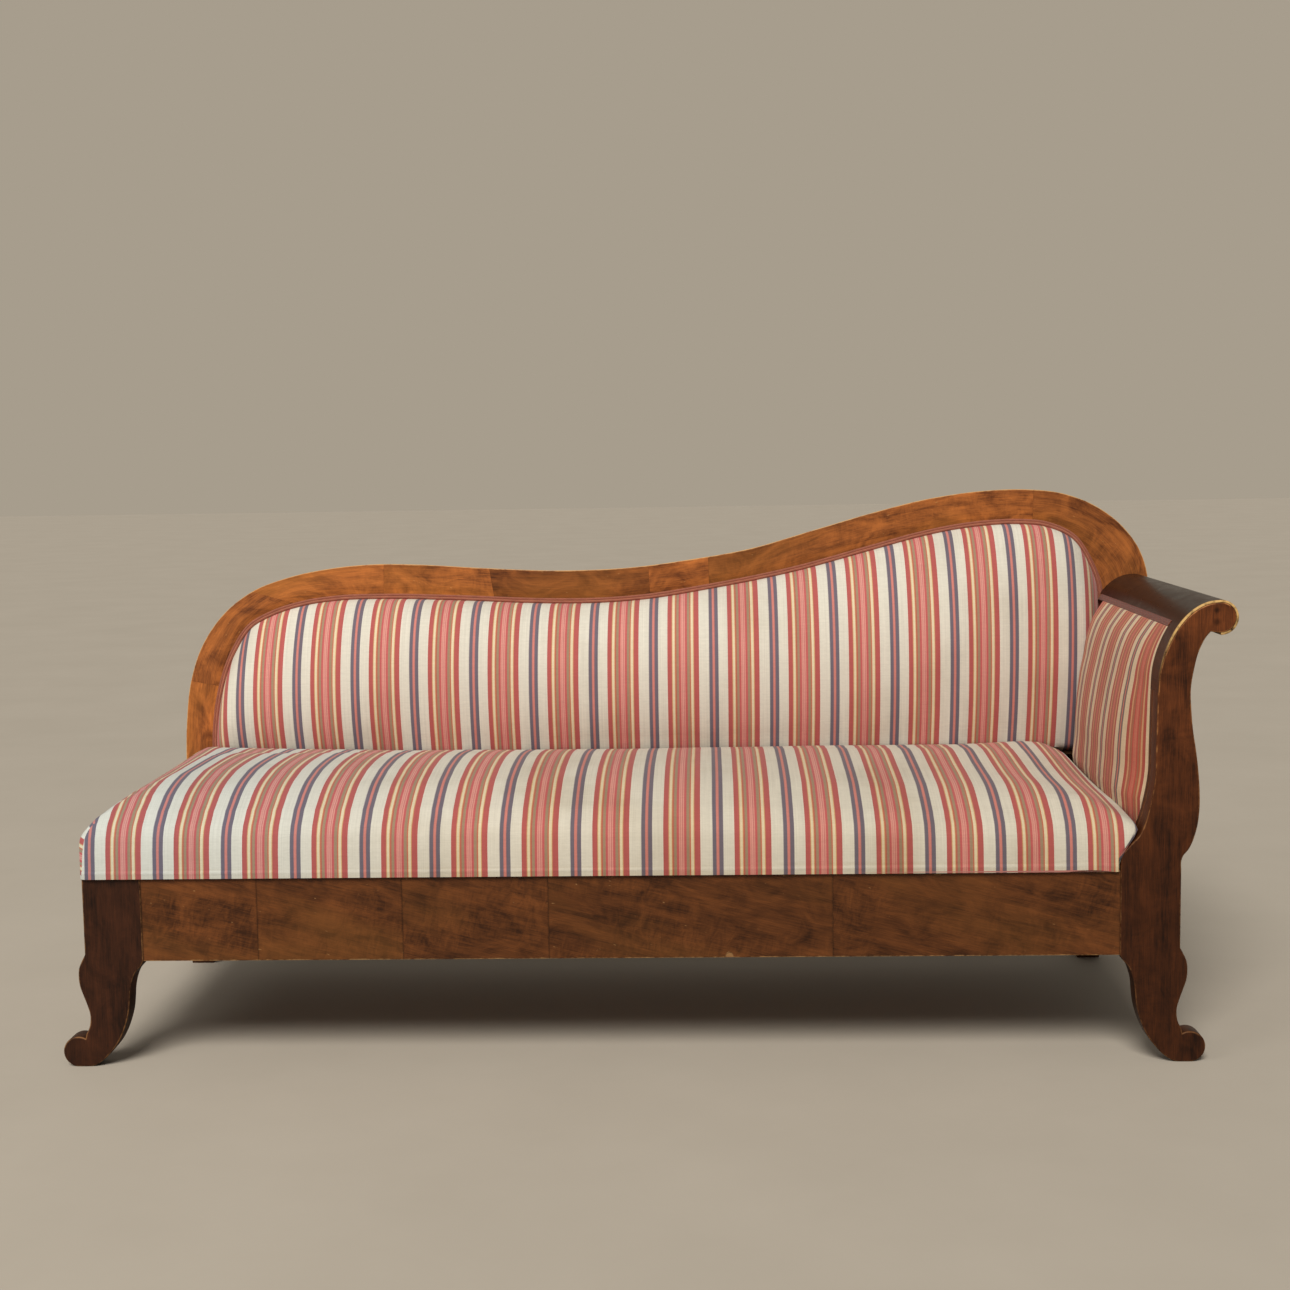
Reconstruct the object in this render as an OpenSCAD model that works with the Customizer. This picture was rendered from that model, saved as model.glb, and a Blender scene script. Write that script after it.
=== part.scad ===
// Fainting couch: a show-wood frame with one scrolled end, a raked back with a
// swept crest, sprung loose seat and striped covers. Millimetres, +Z up, front at -Y.

/* [Overall] */
// Length from the left toe to the tip of the scroll
overall_l = 2042; // [1800:1:2300]
// Depth from the front of the seat cover to the back of the crest
overall_d = 728; // [660:1:820]
// Height of the arm scroll above the floor
arm_h = 801.5; // [740:0.5:860]
// Length of the back board measured up its slope from the rear rail
back_h = 642; // [580:1:700]

/* [Legs and rails] */
// Thickness of the leg and post boards
board_t = 40; // [34:1:46]
// Width of the square block at the top of each front leg
leg_w = 103.5; // [96:0.5:112]
// Reach of a toe from the end of the front rail
toe_reach = 149; // [140:1:158]
// Radius of the rolled toe
toe_r = 27; // [23:0.5:30]
// Height of the rails' lower edge above the floor
rail_bottom = 190; // [165:1:215]
// Height of the rails
rail_h = 147; // [125:1:170]
// Thickness of the rail boards
rail_t = 28; // [24:1:34]
// Thickness of the veneer leaves
veneer_t = 1.2; // [0.8:0.1:2]
// Thickness of each rear leg along the couch
rear_leg_w = 45; // [38:1:52]
// How far a rear foot stands behind its block
rear_leg_rake = 58; // [40:1:70]

/* [Arm] */
// Reach of the scroll from the end of the front rail
scroll_reach = 194; // [182:1:206]
// Radius of the arm scroll
scroll_r = 29.7; // [26:0.1:33]
// Thickness of the bent cap over the arm
cap_t = 4; // [3:0.5:6]
// Thickness of the former behind the post
former_t = 17; // [13:1:22]
// Thickness of the batten that holds the front of the arm webbing
batten_t = 22; // [18:1:28]
// Thickness of the rear arm board
arm_board_t = 28; // [22:1:34]
// Gap between the back of the arm pad and the rear rail
arm_back_gap = 55.5; // [50:0.5:80]
// Depth of the step that takes the arm pad
arm_rebate = 16; // [14:1:20]
// Crown of the arm pad
arm_crown = 29; // [20:1:32]

/* [Back] */
// Slope of the back from upright, in degrees
back_lean = 6.2; // [5:0.1:8]
// Distance from the couch's left end to the back's left edge
back_inset = 63; // [56:1:72]
// Thickness of the back boards
back_board_t = 34.8; // [30:0.1:40]
// Width of the board hidden under the edge of the pad
tack_land = 36; // [30:1:42]
// Height of the bottom edge of the pad above the rear rail
pad_rise = 109; // [100:1:130]
// Height of the bottom rail of the back
bottom_rail_h = 58; // [50:1:64]
// Crown of the back pad
back_crown = 130; // [110:1:132]

/* [Seat] */
// How far the seat cover stands in front of the legs
seat_overhang = 7; // [5:1:10]
// Gap between the back edge of the seat and the face of the back pad
seat_back_gap = 1.5; // [0.5:0.1:6]
// Height of the seat cushion above the rails
seat_h = 151; // [130:1:165]
// Gap between the seat and the post at the seat's bottom edge
seat_post_gap = 4; // [3:0.5:8]
// Width of the seat frame rails
seat_rail_w = 55; // [48:1:62]
// Height of the seat frame rails
seat_rail_h = 42; // [36:1:48]
// Number of springs along the seat
springs_along = 4; // [3:1:5]

/* [Covers] */
// Thickness of the striped cover
cover_t = 1.5; // [1:0.1:2]
// Thickness of the webbing
web_t = 1.8; // [1.2:0.1:2.5]
// Width of a webbing strap
web_w = 50; // [45:1:55]
// Width of the gimp braid
gimp_w = 11; // [9:0.5:14]
// Thickness of the gimp braid
gimp_t = 2.5; // [2:0.1:3.5]

/* [Hidden] */

// Clearances and small sizes that several pieces share
fit_gap = 0.3;
soft_gap = 0.5;
dowel_r = 5;
dowel_l = 50;
dowel_fit = 0.05;

// Main planes
front_y = -overall_d / 2 + seat_overhang;
rail_top = rail_bottom + rail_h;
left_x = -overall_l / 2 + toe_reach;
right_x = overall_l / 2 - scroll_reach;
outer_left_x = left_x - leg_w;
outer_right_x = right_x + leg_w;
board_back_y = front_y + board_t;
arm_rise = arm_h - rail_top;

// Rake of the back: its face meets the floor plane at back_foot_y
lean_sin = sin(back_lean);
lean_cos = cos(back_lean);
back_foot_h = rail_top / lean_cos;
crest_top = back_foot_h + back_h;
back_t = back_board_t + veneer_t;
back_foot_y = overall_d / 2 - crest_top * lean_sin - back_t * lean_cos;
back_left_x = -overall_l / 2 + back_inset;
back_l = overall_l / 2 - back_left_x;
rear_rail_y = back_foot_y + rail_top * tan(back_lean) - fit_gap;
rear_rail_t = back_t + 2 * fit_gap;
// The seat reaches back to the face of the pad, which stands this share of its crown in front
// of the board where the seat meets it
pad_face_share = 0.752;
seat_d = back_foot_y + (rail_top + seat_h) * tan(back_lean) - back_crown * pad_face_share
    - seat_back_gap + overall_d / 2;

function mix(a, b, t) = a + (b - a) * t;
function ease(a, b, x) = let (t = min(1, max(0, (x - a) / (b - a)))) t * t * (3 - 2 * t);
function part_of(list, a, b) = [for (i = [a:1:b]) list[i]];
function turned_round(list) = [for (i = [len(list) - 1:-1:0]) list[i]];
function scaled(table, w, h, x0, y0) = [for (p = table) [x0 + p[0] * w, y0 + p[1] * h]];

// A smooth curve through the points p, with k steps between neighbours: a cubic whose slope
// at each point is the mean of the slopes to its neighbours, weighted by their distance
function slope_at(p, i) = let (n = len(p) - 1)
    i == 0 ? (p[1] - p[0]) / norm(p[1] - p[0]) :
    i == n ? (p[n] - p[n - 1]) / norm(p[n] - p[n - 1]) :
    let (a = norm(p[i] - p[i - 1]), b = norm(p[i + 1] - p[i]))
    ((p[i] - p[i - 1]) * b / a + (p[i + 1] - p[i]) * a / b) / (a + b);
function cubic(p0, p1, m0, m1, t) = p0 * (2 * t * t * t - 3 * t * t + 1)
    + m0 * (t * t * t - 2 * t * t + t) + p1 * (3 * t * t - 2 * t * t * t)
    + m1 * (t * t * t - t * t);
function curve(p, k) = concat([for (i = [0:len(p) - 2], j = [0:k - 1])
    let (l = norm(p[i + 1] - p[i]))
    cubic(p[i], p[i + 1], slope_at(p, i) * l, slope_at(p, i + 1) * l, j / k)],
    [p[len(p) - 1]]);
function arc(c, r, a0, a1, n) = [for (i = [0:n]) let (a = mix(a0, a1, i / n))
    c + r * [cos(a), sin(a)]];
// The path p moved sideways by d, to the right of its direction
function normal_at(p, i) = let (a = p[max(0, i - 1)], b = p[min(len(p) - 1, i + 1)],
    v = (b - a) / norm(b - a)) [v[1], -v[0]];
function beside(p, d) = [for (i = [0:len(p) - 1]) p[i] + d * normal_at(p, i)];
// The strip between two distances beside the path, from its point a to its point b
function band(p, a, b, d0, d1) = concat(part_of(beside(p, d0), a, b),
    turned_round(part_of(beside(p, d1), a, b)));

// A flat board: an outline in X and Z, from y0 backwards by t
module board(points, y0, t) {
    translate([0, y0 + t, 0]) rotate([90, 0, 0]) linear_extrude(t) polygon(points);
}
// The raked back's own frame: x along the couch, y into the board, z up its face
module on_back() {
    translate([0, back_foot_y, 0]) rotate([-back_lean, 0, 0]) children();
}
// Everything in front of the plane of the back board's face
module before_back(gap) {
    difference() {
        children();
        on_back() translate([-overall_l, -gap, -overall_d])
            cube([2 * overall_l, overall_d, 3 * overall_d]);
    }
}
// Triangles over a ring of n points, in strips across it: point tip + j is tied to tip - j
function lid(n, base, tip) = let (h = floor(n / 2),
    up = [for (j = [0:h]) base + (tip + j) % n],
    down = [for (j = [0:h]) base + (tip - j + n) % n])
    concat([[up[0], down[1], up[1]]],
    [for (j = [1:h - 2]) each [[up[j], down[j], up[j + 1]], [up[j + 1], down[j], down[j + 1]]]],
    [[up[h - 1], down[h - 1], up[h]]]);
// Everything above the plane of the rails' top
module above_rails() {
    difference() {
        children();
        translate([-overall_l, -overall_d, rail_bottom])
            cube([2 * overall_l, 2 * overall_d, rail_h]);
    }
}
// A closed surface of rings of points, all of one even length, from the first ring to the
// last, each anticlockwise as seen from the next, with a lid of strips over both ends. The
// first rows of faces, as many as turned says, are split the other way, so that the two sides
// of a shell are split alike
module skin_of(rings, tip_first = 0, tip_last = 0, turned = 0) {
    n = len(rings[0]);
    m = len(rings);
    points = [for (r = rings) each r];
    sides = [for (i = [0:m - 2], j = [0:n - 1]) let (a = i * n + j, b = i * n + (j + 1) % n)
        each i < turned ? [[a, b + n, b], [a, a + n, b + n]] : [[a, a + n, b], [b, a + n, b + n]]];
    first = [for (f = lid(n, 0, tip_first)) [f[0], f[2], f[1]]];
    last = lid(n, (m - 1) * n, tip_last);
    polyhedron(points, concat(sides, first, last));
}

// Outline of a front leg below the rails, outwards from the rail's end: x as a share of
// toe_reach and z as a share of rail_bottom
leg_inner_shares = [[0, 1], [0.034, 0.953], [0.101, 0.892], [0.148, 0.805], [0.174, 0.711],
    [0.185, 0.616], [0.201, 0.516], [0.228, 0.432], [0.282, 0.316], [0.349, 0.218],
    [0.436, 0.132], [0.53, 0.058], [0.638, 0.008], [0.698, 0]];
leg_outer_shares = [[0.695, 1.06], [0.732, 1.006], [0.772, 0.932], [0.782, 0.847],
    [0.772, 0.768], [0.732, 0.668], [0.691, 0.574], [0.666, 0.495], [0.666, 0.432],
    [0.685, 0.363], [0.72, 0.311]];
toe_c = [toe_reach - toe_r, toe_r];
leg_inner = curve(scaled(leg_inner_shares, toe_reach, rail_bottom, 0, 0), 2);
leg_outer = curve(scaled(leg_outer_shares, toe_reach, rail_bottom, 0, 0), 2);
toe_start_a = 118;
leg_below = concat(leg_outer, arc(toe_c, toe_r, toe_start_a, -90, 14),
    turned_round(leg_inner));

// Outline of the scrolled end above the rails, outwards from the rail's end: x as a share of
// scroll_reach and z as a share of the rise above the rails, on the inner side of the scroll's
// top and on the outer side of its lower edge
arm_inner_shares = [[0, 0], [0, 0.028], [0.005, 0.052], [0.08, 0.095], [0.168, 0.136],
    [0.202, 0.168], [0.253, 0.248], [0.291, 0.34], [0.299, 0.452], [0.304, 0.562],
    [0.309, 0.663], [0.324, 0.747], [0.381, 0.831], [0.492, 0.917], [0.577, 0.956],
    [0.662, 0.981], [0.747, 0.995]];
arm_outer_shares = [[0.76, 1.014], [0.735, 1.001], [0.668, 0.943], [0.619, 0.854],
    [0.595, 0.771], [0.602, 0.686], [0.619, 0.6], [0.647, 0.516], [0.67, 0.43],
    [0.684, 0.345], [0.685, 0.259], [0.661, 0.174], [0.593, 0.089], [0.546, 0.06],
    [0.534, 0.042]];
arm_steps = 2;
scroll_c = [scroll_reach - scroll_r, arm_h - scroll_r];
arm_inner = concat(curve(concat(scaled(arm_inner_shares, scroll_reach, arm_rise, 0, rail_top),
    [scroll_c + [0, scroll_r]]), arm_steps),
    part_of(arc(scroll_c, scroll_r, 90, -90, 12), 1, 12));
arm_neck = arm_rise - 2 * scroll_r;
arm_outer = curve(concat(scaled(arm_outer_shares, scroll_reach, arm_neck, 0, rail_top),
    [[leg_w, rail_top]]), arm_steps);
cap_low = 10 * arm_steps;
cap_start = 13 * arm_steps;
arm_end = len(arm_inner) - 1;
seat_line = 6 * arm_steps;
function at_right(p) = [for (q = p) [right_x + q[0], q[1]]];
function at_left(p) = [for (q = p) [left_x - q[0], q[1]]];
// The wood inside the cap: the inner outline, stepped back by the cap's thickness above its foot
arm_wood = concat(part_of(arm_inner, 0, cap_low),
    part_of(beside(arm_inner, cap_t), cap_low, arm_end));

// Front frame: legs, post and rails
module front_left_leg() {
    color("#4a2412") difference() {
        board(at_left(concat([[0, rail_top], [leg_w, rail_top]], leg_below)),
            front_y, board_t);
        frame_dowels(dowel_fit);
        block_screws(0);
    }
}

module front_right_post() {
    color("#4a2412") difference() {
        board(at_right(concat(arm_wood, arm_outer, leg_below)), front_y, board_t);
        frame_dowels(dowel_fit);
        block_screws(0);
    }
}

// Outline of a rear leg seen from the side: y as a share of the rake, z as a share of
// the rails' lower edge
rear_leg_back_shares = [[0, 1.18], [0.02, 0.9], [0.14, 0.62], [0.42, 0.32], [0.78, 0.1], [1, 0]];
rear_foot_d = 34;
module rear_leg(x0) {
    back_line = curve([for (s = rear_leg_back_shares)
        [rear_rail_y + rear_rail_t + s[0] * rear_leg_rake, s[1] * rail_bottom]], 3);
    front_line = [for (p = turned_round(back_line))
        [p[0] - mix(rear_foot_d, rear_rail_t, min(1, p[1] / rail_bottom)), p[1]]];
    translate([x0, 0, 0]) rotate([90, 0, 90]) linear_extrude(rear_leg_w)
        polygon(concat([[rear_rail_y, rail_top], [rear_rail_y + rear_rail_t, rail_top]],
            back_line, front_line));
}

module rear_left_leg() {
    color("#3d2013") difference() {
        rear_leg(outer_left_x);
        frame_dowels(dowel_fit);
    }
}

module rear_right_leg() {
    color("#3d2013") difference() {
        rear_leg(outer_right_x - rear_leg_w);
        frame_dowels(dowel_fit);
        stile_dowels(dowel_fit);
    }
}

module front_rail() {
    color("#8a5a32") difference() {
        translate([left_x, front_y + veneer_t, rail_bottom])
            cube([right_x - left_x, rail_t, rail_h]);
        frame_dowels(dowel_fit);
    }
}

// Where the veneer leaves meet along the front rail, as shares of its length
rail_leaf_shares = [0, 0.12, 0.27, 0.42, 0.71, 1];
module front_rail_veneer() {
    color("#6b3a1c") for (i = [0:len(rail_leaf_shares) - 2]) {
        x0 = mix(left_x, right_x, rail_leaf_shares[i]);
        x1 = mix(left_x, right_x, rail_leaf_shares[i + 1]);
        translate([x0, front_y, rail_bottom]) cube([x1 - x0, veneer_t, rail_h]);
    }
}

module rear_rail() {
    color("#8a6a45") difference() {
        translate([outer_left_x + rear_leg_w, rear_rail_y, rail_bottom])
            cube([outer_right_x - outer_left_x - 2 * rear_leg_w, rear_rail_t, rail_h]);
        frame_dowels(dowel_fit);
        stile_dowels(dowel_fit);
        block_screws(0);
    }
}

module end_rail(x0) {
    difference() {
        translate([x0, board_back_y, rail_bottom])
            cube([rail_t, rear_rail_y - board_back_y, rail_h]);
        frame_dowels(dowel_fit);
        block_screws(0);
    }
}

module left_end_rail() {
    color("#6b3a1c") end_rail(outer_left_x);
}

module right_end_rail() {
    color("#6b3a1c") end_rail(outer_right_x - rail_t);
}

// Dowels across each rail's ends, two to a joint
dowel_z_shares = [0.28, 0.72];
module dowel_x(x, y, z, gap) {
    translate([x - dowel_l / 2, y, z]) rotate([0, 90, 0])
        cylinder(h = dowel_l, r = dowel_r + gap, $fn = 24);
}
module dowel_y(x, y, z, gap) {
    translate([x, y + dowel_l / 2, z]) rotate([90, 0, 0])
        cylinder(h = dowel_l, r = dowel_r + gap, $fn = 24);
}
module frame_dowels(gap) {
    front_mid_y = front_y + veneer_t + rail_t / 2;
    rear_mid_y = rear_rail_y + rear_rail_t / 2;
    for (s = dowel_z_shares) {
        z = rail_bottom + s * rail_h;
        for (x = [left_x, right_x]) dowel_x(x, front_mid_y, z, gap);
        for (x = [outer_left_x + rear_leg_w, outer_right_x - rear_leg_w])
            dowel_x(x, rear_mid_y, z, gap);
        for (x = [outer_left_x + rail_t / 2, outer_right_x - rail_t / 2])
            for (y = [board_back_y, rear_rail_y]) dowel_y(x, y, z, gap);
    }
}
module rail_dowels() {
    color("#c9a877") frame_dowels(0);
}

// Glued and screwed blocks in the corners of the rail frame
block_leg = 70;
block_h = 60;
block_drop = 10;
block_z = rail_top - block_h - block_drop;
screw_r = 2.5;
screw_head_r = 4.5;
screw_head_h = 3;
screw_l = 42;
// Each corner: its inner x and y, and the directions into the frame
block_corners = [[outer_left_x + rail_t, board_back_y, 1, 1],
    [outer_right_x - rail_t, board_back_y, -1, 1],
    [outer_left_x + rail_t, rear_rail_y, 1, -1],
    [outer_right_x - rail_t, rear_rail_y, -1, -1]];
module block_shape(c) {
    translate([c[0], c[1], block_z]) linear_extrude(block_h)
        polygon([[0, 0], [c[2] * block_leg, 0], [0, c[3] * block_leg]]);
}
// Two screws in each block, square to its rails, with their heads let into the slope
module block_screws(gap) {
    inset = block_leg * 0.36;
    for (c = block_corners) {
        for (k = [0, 1]) {
            z = block_z + block_h * (k == 0 ? 0.3 : 0.7);
            deep = block_leg - inset;
            start = k == 0 ? [c[0] + c[2] * deep, c[1] + c[3] * inset, z]
                : [c[0] + c[2] * inset, c[1] + c[3] * deep, z];
            turn = k == 0 ? [0, -90 * c[2], 0] : [90 * c[3], 0, 0];
            translate(start) rotate(turn) {
                translate([0, 0, deep - screw_l + screw_r * 4])
                    cylinder(h = screw_l, r = screw_r + gap, $fn = 20);
                translate([0, 0, deep - screw_l + screw_r * 4 - screw_head_h])
                    cylinder(h = screw_head_h, r = screw_head_r + gap, $fn = 20);
            }
        }
    }
}
// The way in for each screw's head, from the slope down to the head's seat
module block_counterbores() {
    inset = block_leg * 0.36;
    deep = block_leg - inset;
    for (c = block_corners) {
        for (k = [0, 1]) {
            z = block_z + block_h * (k == 0 ? 0.3 : 0.7);
            start = k == 0 ? [c[0] + c[2] * deep, c[1] + c[3] * inset, z]
                : [c[0] + c[2] * inset, c[1] + c[3] * deep, z];
            turn = k == 0 ? [0, -90 * c[2], 0] : [90 * c[3], 0, 0];
            translate(start) rotate(turn) translate([0, 0, -block_leg / 4])
                cylinder(h = block_leg / 4 + deep - screw_l + screw_r * 4,
                    r = screw_head_r + dowel_fit, $fn = 20);
        }
    }
}
module corner_blocks() {
    color("#b08a5c") difference() {
        for (c = block_corners) block_shape(c);
        block_screws(0);
        block_counterbores();
    }
}
module corner_block_screws() {
    color("#9a8a5a") block_screws(0);
}

// Cross members let in under the seat, and the bearer that carries the seat's rear rail
bearer_t = 34;
bearer_h = 60;
bearer_in = 6;
bearer_y = front_y + seat_d - seat_overhang - bearer_t - bearer_in;
stretcher_w = 60;
stretcher_h = 30;
stretcher_x_shares = [0.3, 0.67];
module cross_stretchers() {
    color("#b08a5c") for (s = stretcher_x_shares) {
        x = mix(outer_left_x, outer_right_x, s) - stretcher_w / 2;
        y0 = front_y + veneer_t + rail_t;
        translate([x, y0, rail_top - bearer_h - stretcher_h])
            cube([stretcher_w, rear_rail_y - y0, stretcher_h]);
    }
}
module seat_bearer() {
    color("#b08a5c") translate([outer_left_x + rail_t, bearer_y, rail_top - bearer_h])
        cube([outer_right_x - outer_left_x - 2 * rail_t, bearer_t, bearer_h]);
}

// Outer edge of the back boards, from the foot of the left stile over the crest to the foot
// of the right stile: x as a share of back_l, height as a share of back_h
crest_outer_shares = [[0, 0], [0, 0.163], [0.001, 0.292], [0.0059, 0.421], [0.0177, 0.531],
    [0.0423, 0.639], [0.0741, 0.711], [0.1059, 0.747], [0.1534, 0.777], [0.2004, 0.789],
    [0.2474, 0.786], [0.3106, 0.773], [0.4041, 0.761], [0.4668, 0.768], [0.529, 0.791],
    [0.5911, 0.823], [0.6533, 0.876], [0.7155, 0.93], [0.7776, 0.975], [0.8393, 0.998],
    [0.8701, 1], [0.9161, 0.983], [0.9464, 0.945], [0.9768, 0.87], [0.9919, 0.8],
    [0.9995, 0.708], [0.998, 0.634], [0.9894, 0.564], [0.9768, 0.47], [0.9702, 0.377],
    [0.9702, 0.267], [0.9692, 0.158], [0.9616, 0.064], [0.954, 0]];
// Line where the show wood meets the pad, from foot to foot the same way
crest_inner_shares = [[0.0281, 0], [0.0281, 0.17], [0.0281, 0.252], [0.0352, 0.404],
    [0.0483, 0.517], [0.0685, 0.606], [0.0898, 0.642], [0.1216, 0.673], [0.1635, 0.691],
    [0.2095, 0.694], [0.2848, 0.687], [0.3849, 0.673], [0.435, 0.673], [0.487, 0.684],
    [0.5391, 0.708], [0.6323, 0.762], [0.7203, 0.833], [0.7665, 0.87], [0.8079, 0.894],
    [0.8388, 0.904], [0.8696, 0.906], [0.8949, 0.898], [0.9257, 0.854], [0.9436, 0.77],
    [0.9515, 0.706], [0.954, 0.627], [0.954, 0.47], [0.954, 0.314], [0.954, 0.17],
    [0.954, 0]];
crest_steps = 3;
pad_bottom = back_foot_h + pad_rise;
crest_outer = curve(scaled(crest_outer_shares, back_l, back_h, back_left_x, back_foot_h),
    crest_steps);
crest_inner = curve(scaled(crest_inner_shares, back_l, back_h, back_left_x, back_foot_h),
    crest_steps);
crest_wood = beside(crest_inner, tack_land);
// Where the boards meet: the place in the outer and in the inner list
left_joint = [3 * crest_steps, 3 * crest_steps];
mid_joint = [13 * crest_steps, 13 * crest_steps];
right_joint = [24 * crest_steps, 23 * crest_steps];
outer_end = len(crest_outer) - 1;
inner_end = len(crest_inner) - 1;

module back_piece(a, b) {
    above_rails() on_back() board(concat(part_of(crest_outer, a[0], b[0]),
        turned_round(part_of(crest_wood, a[1], b[1]))), veneer_t, back_board_t);
}
module back_left_stile() {
    color("#a85f24") difference() {
        back_piece([0, 0], left_joint);
        crest_dowels(dowel_fit);
        stile_dowels(dowel_fit);
    }
}
module back_crest_left() {
    color("#b5691f") difference() {
        back_piece(left_joint, mid_joint);
        crest_dowels(dowel_fit);
    }
}
module back_crest_right() {
    color("#b5691f") difference() {
        back_piece(mid_joint, right_joint);
        crest_dowels(dowel_fit);
    }
}
module back_right_stile() {
    color("#a85f24") difference() {
        back_piece(right_joint, [outer_end, inner_end]);
        crest_dowels(dowel_fit);
        stile_dowels(dowel_fit);
    }
}

// Bottom rail of the back, between the stiles
bottom_rail_x0 = crest_wood[0][0] + 2 * fit_gap;
bottom_rail_x1 = crest_wood[inner_end][0] - 2 * fit_gap;
bottom_rail_drop = 8;
bottom_rail_z = pad_bottom - bottom_rail_drop;
module back_bottom_rail() {
    color("#9c6b3c") difference() {
        on_back() translate([bottom_rail_x0, veneer_t, bottom_rail_z])
            cube([bottom_rail_x1 - bottom_rail_x0, back_board_t, bottom_rail_h]);
        crest_dowels(dowel_fit);
    }
}

// Veneer leaves on the face of the show wood, as pairs of places in the two edge lists
back_leaves = [[[0, 0], [1, 1]], [[1, 1], [3, 3]], [[3, 3], [6, 6]], [[6, 6], [10, 9]],
    [[10, 9], [13, 13]], [[13, 13], [16, 16]], [[16, 16], [20, 20]], [[20, 20], [24, 23]],
    [[24, 23], [33, 29]]];
module back_veneer() {
    color("#c0741f") for (leaf = back_leaves) {
        a = leaf[0] * crest_steps;
        b = leaf[1] * crest_steps;
        above_rails() on_back() board(concat(part_of(crest_outer, a[0], b[0]),
            turned_round(part_of(crest_inner, a[1], b[1]))), 0, veneer_t);
    }
}

// Dowels in the back: two across each crest joint, and in the bottom rail's ends
module slanted_dowel(p, dir, gap) {
    translate([p[0], veneer_t + back_board_t / 2, p[1]])
        rotate([0, 90 - atan2(dir[1], dir[0]), 0]) translate([0, 0, -dowel_l / 2])
        cylinder(h = dowel_l, r = dowel_r + gap, $fn = 24);
}
dowel_across_shares = [0.3, 0.7];
module crest_dowels(gap) {
    on_back() {
        for (j = [left_joint, mid_joint, right_joint]) {
            a = crest_outer[j[0]];
            b = crest_wood[j[1]];
            along = [b[1] - a[1], a[0] - b[0]];
            for (s = dowel_across_shares) slanted_dowel(mix(a, b, s), along, gap);
        }
        for (x = [bottom_rail_x0, bottom_rail_x1], s = dowel_across_shares)
            slanted_dowel([x, bottom_rail_z + s * bottom_rail_h], [1, 0], gap);
    }
}
// Dowels up from the rear rail and the right rear leg into the feet of the stiles
module stile_dowels(gap) {
    on_back() for (x = [(crest_outer[0][0] + crest_wood[0][0]) / 2 - dowel_r,
        (crest_outer[outer_end][0] + crest_wood[inner_end][0]) / 2])
        slanted_dowel([x, back_foot_h], [0, 1], gap);
}
module back_dowels() {
    color("#c9a877") {
        crest_dowels(0);
        stile_dowels(0);
    }
}

// Webbing and hessian over the opening of the back
function inner_height(x) = lookup(x, [for (p = crest_inner) [p[0], p[1]]]);
back_webs_across = 4;
back_webs_up = 13;
back_web_x0 = crest_inner[0][0] + gimp_w + soft_gap;
back_web_x1 = crest_inner[inner_end][0] - gimp_w - soft_gap;
hessian_t = 0.9;
// Every webbing strap ends on the boards, inside the gimp
module back_webbing() {
    usable = back_web_x1 - back_web_x0 - web_w;
    color("#9a7b52") on_back() {
        for (i = [0:back_webs_up - 1]) {
            x = back_web_x0 + web_w + (usable - web_w) * (i + 0.5) / back_webs_up - web_w / 2;
            top = min(inner_height(x), inner_height(x + web_w)) - gimp_w - tack_land * 0.3;
            translate([x, veneer_t - web_t, pad_bottom + web_w / 6])
                cube([web_w, web_t, top - pad_bottom - web_w / 6]);
        }
        for (i = [0:back_webs_across - 1]) {
            z = pad_bottom + bottom_rail_h + i * web_w * 1.12;
            x0 = inner_left_at(z + web_w) + tack_land;
            translate([x0, veneer_t - 2 * web_t - fit_gap / 10, z])
                cube([back_web_x1 - tack_land * 0.3 - x0, web_t, web_w]);
        }
    }
}
function inner_left_at(z) = lookup(z, [for (p = part_of(crest_inner, 0, 8 * crest_steps))
    [p[1], p[0]]]);

// Pad outline on the board, inside the gimp: the places of the inner line above the pad's
// bottom edge, then points along the bottom edge
gimp_clear = 2;
pad_first = 1;
pad_last = len(crest_inner_shares) - 2;
bottom_points = 18;
pad_side = [for (i = [pad_first:pad_last])
    let (p = beside(crest_inner, gimp_w + gimp_clear)[i * crest_steps])
    [p[0], max(p[1], pad_bottom)]];
pad_edge = turned_round(concat(pad_side, [for (i = [1:bottom_points])
    mix(pad_side[len(pad_side) - 1], pad_side[0], i / (bottom_points + 1))]));
// The points of the edge at the left and right ends of the middle line are half a round apart
pad_tip = len(pad_edge) - 3;
pad_x0 = pad_side[0][0];
pad_x1 = pad_side[len(pad_side) - 1][0];
pad_mid_shares = [[0.118, 0.415], [0.858, 0.525]];
pad_mid = scaled(pad_mid_shares, back_l, back_h, back_left_x, back_foot_h);
function pad_centre(x) = let (t = min(1, max(0, (x - pad_mid[0][0])
    / (pad_mid[1][0] - pad_mid[0][0])))) mix(pad_mid[0], pad_mid[1], t);
function pad_swell(x) = let (s = abs(2 * (x - pad_x0) / (pad_x1 - pad_x0) - 1))
    back_crown * (1 - 0.42 * ease(0.5, 1, s));
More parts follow.
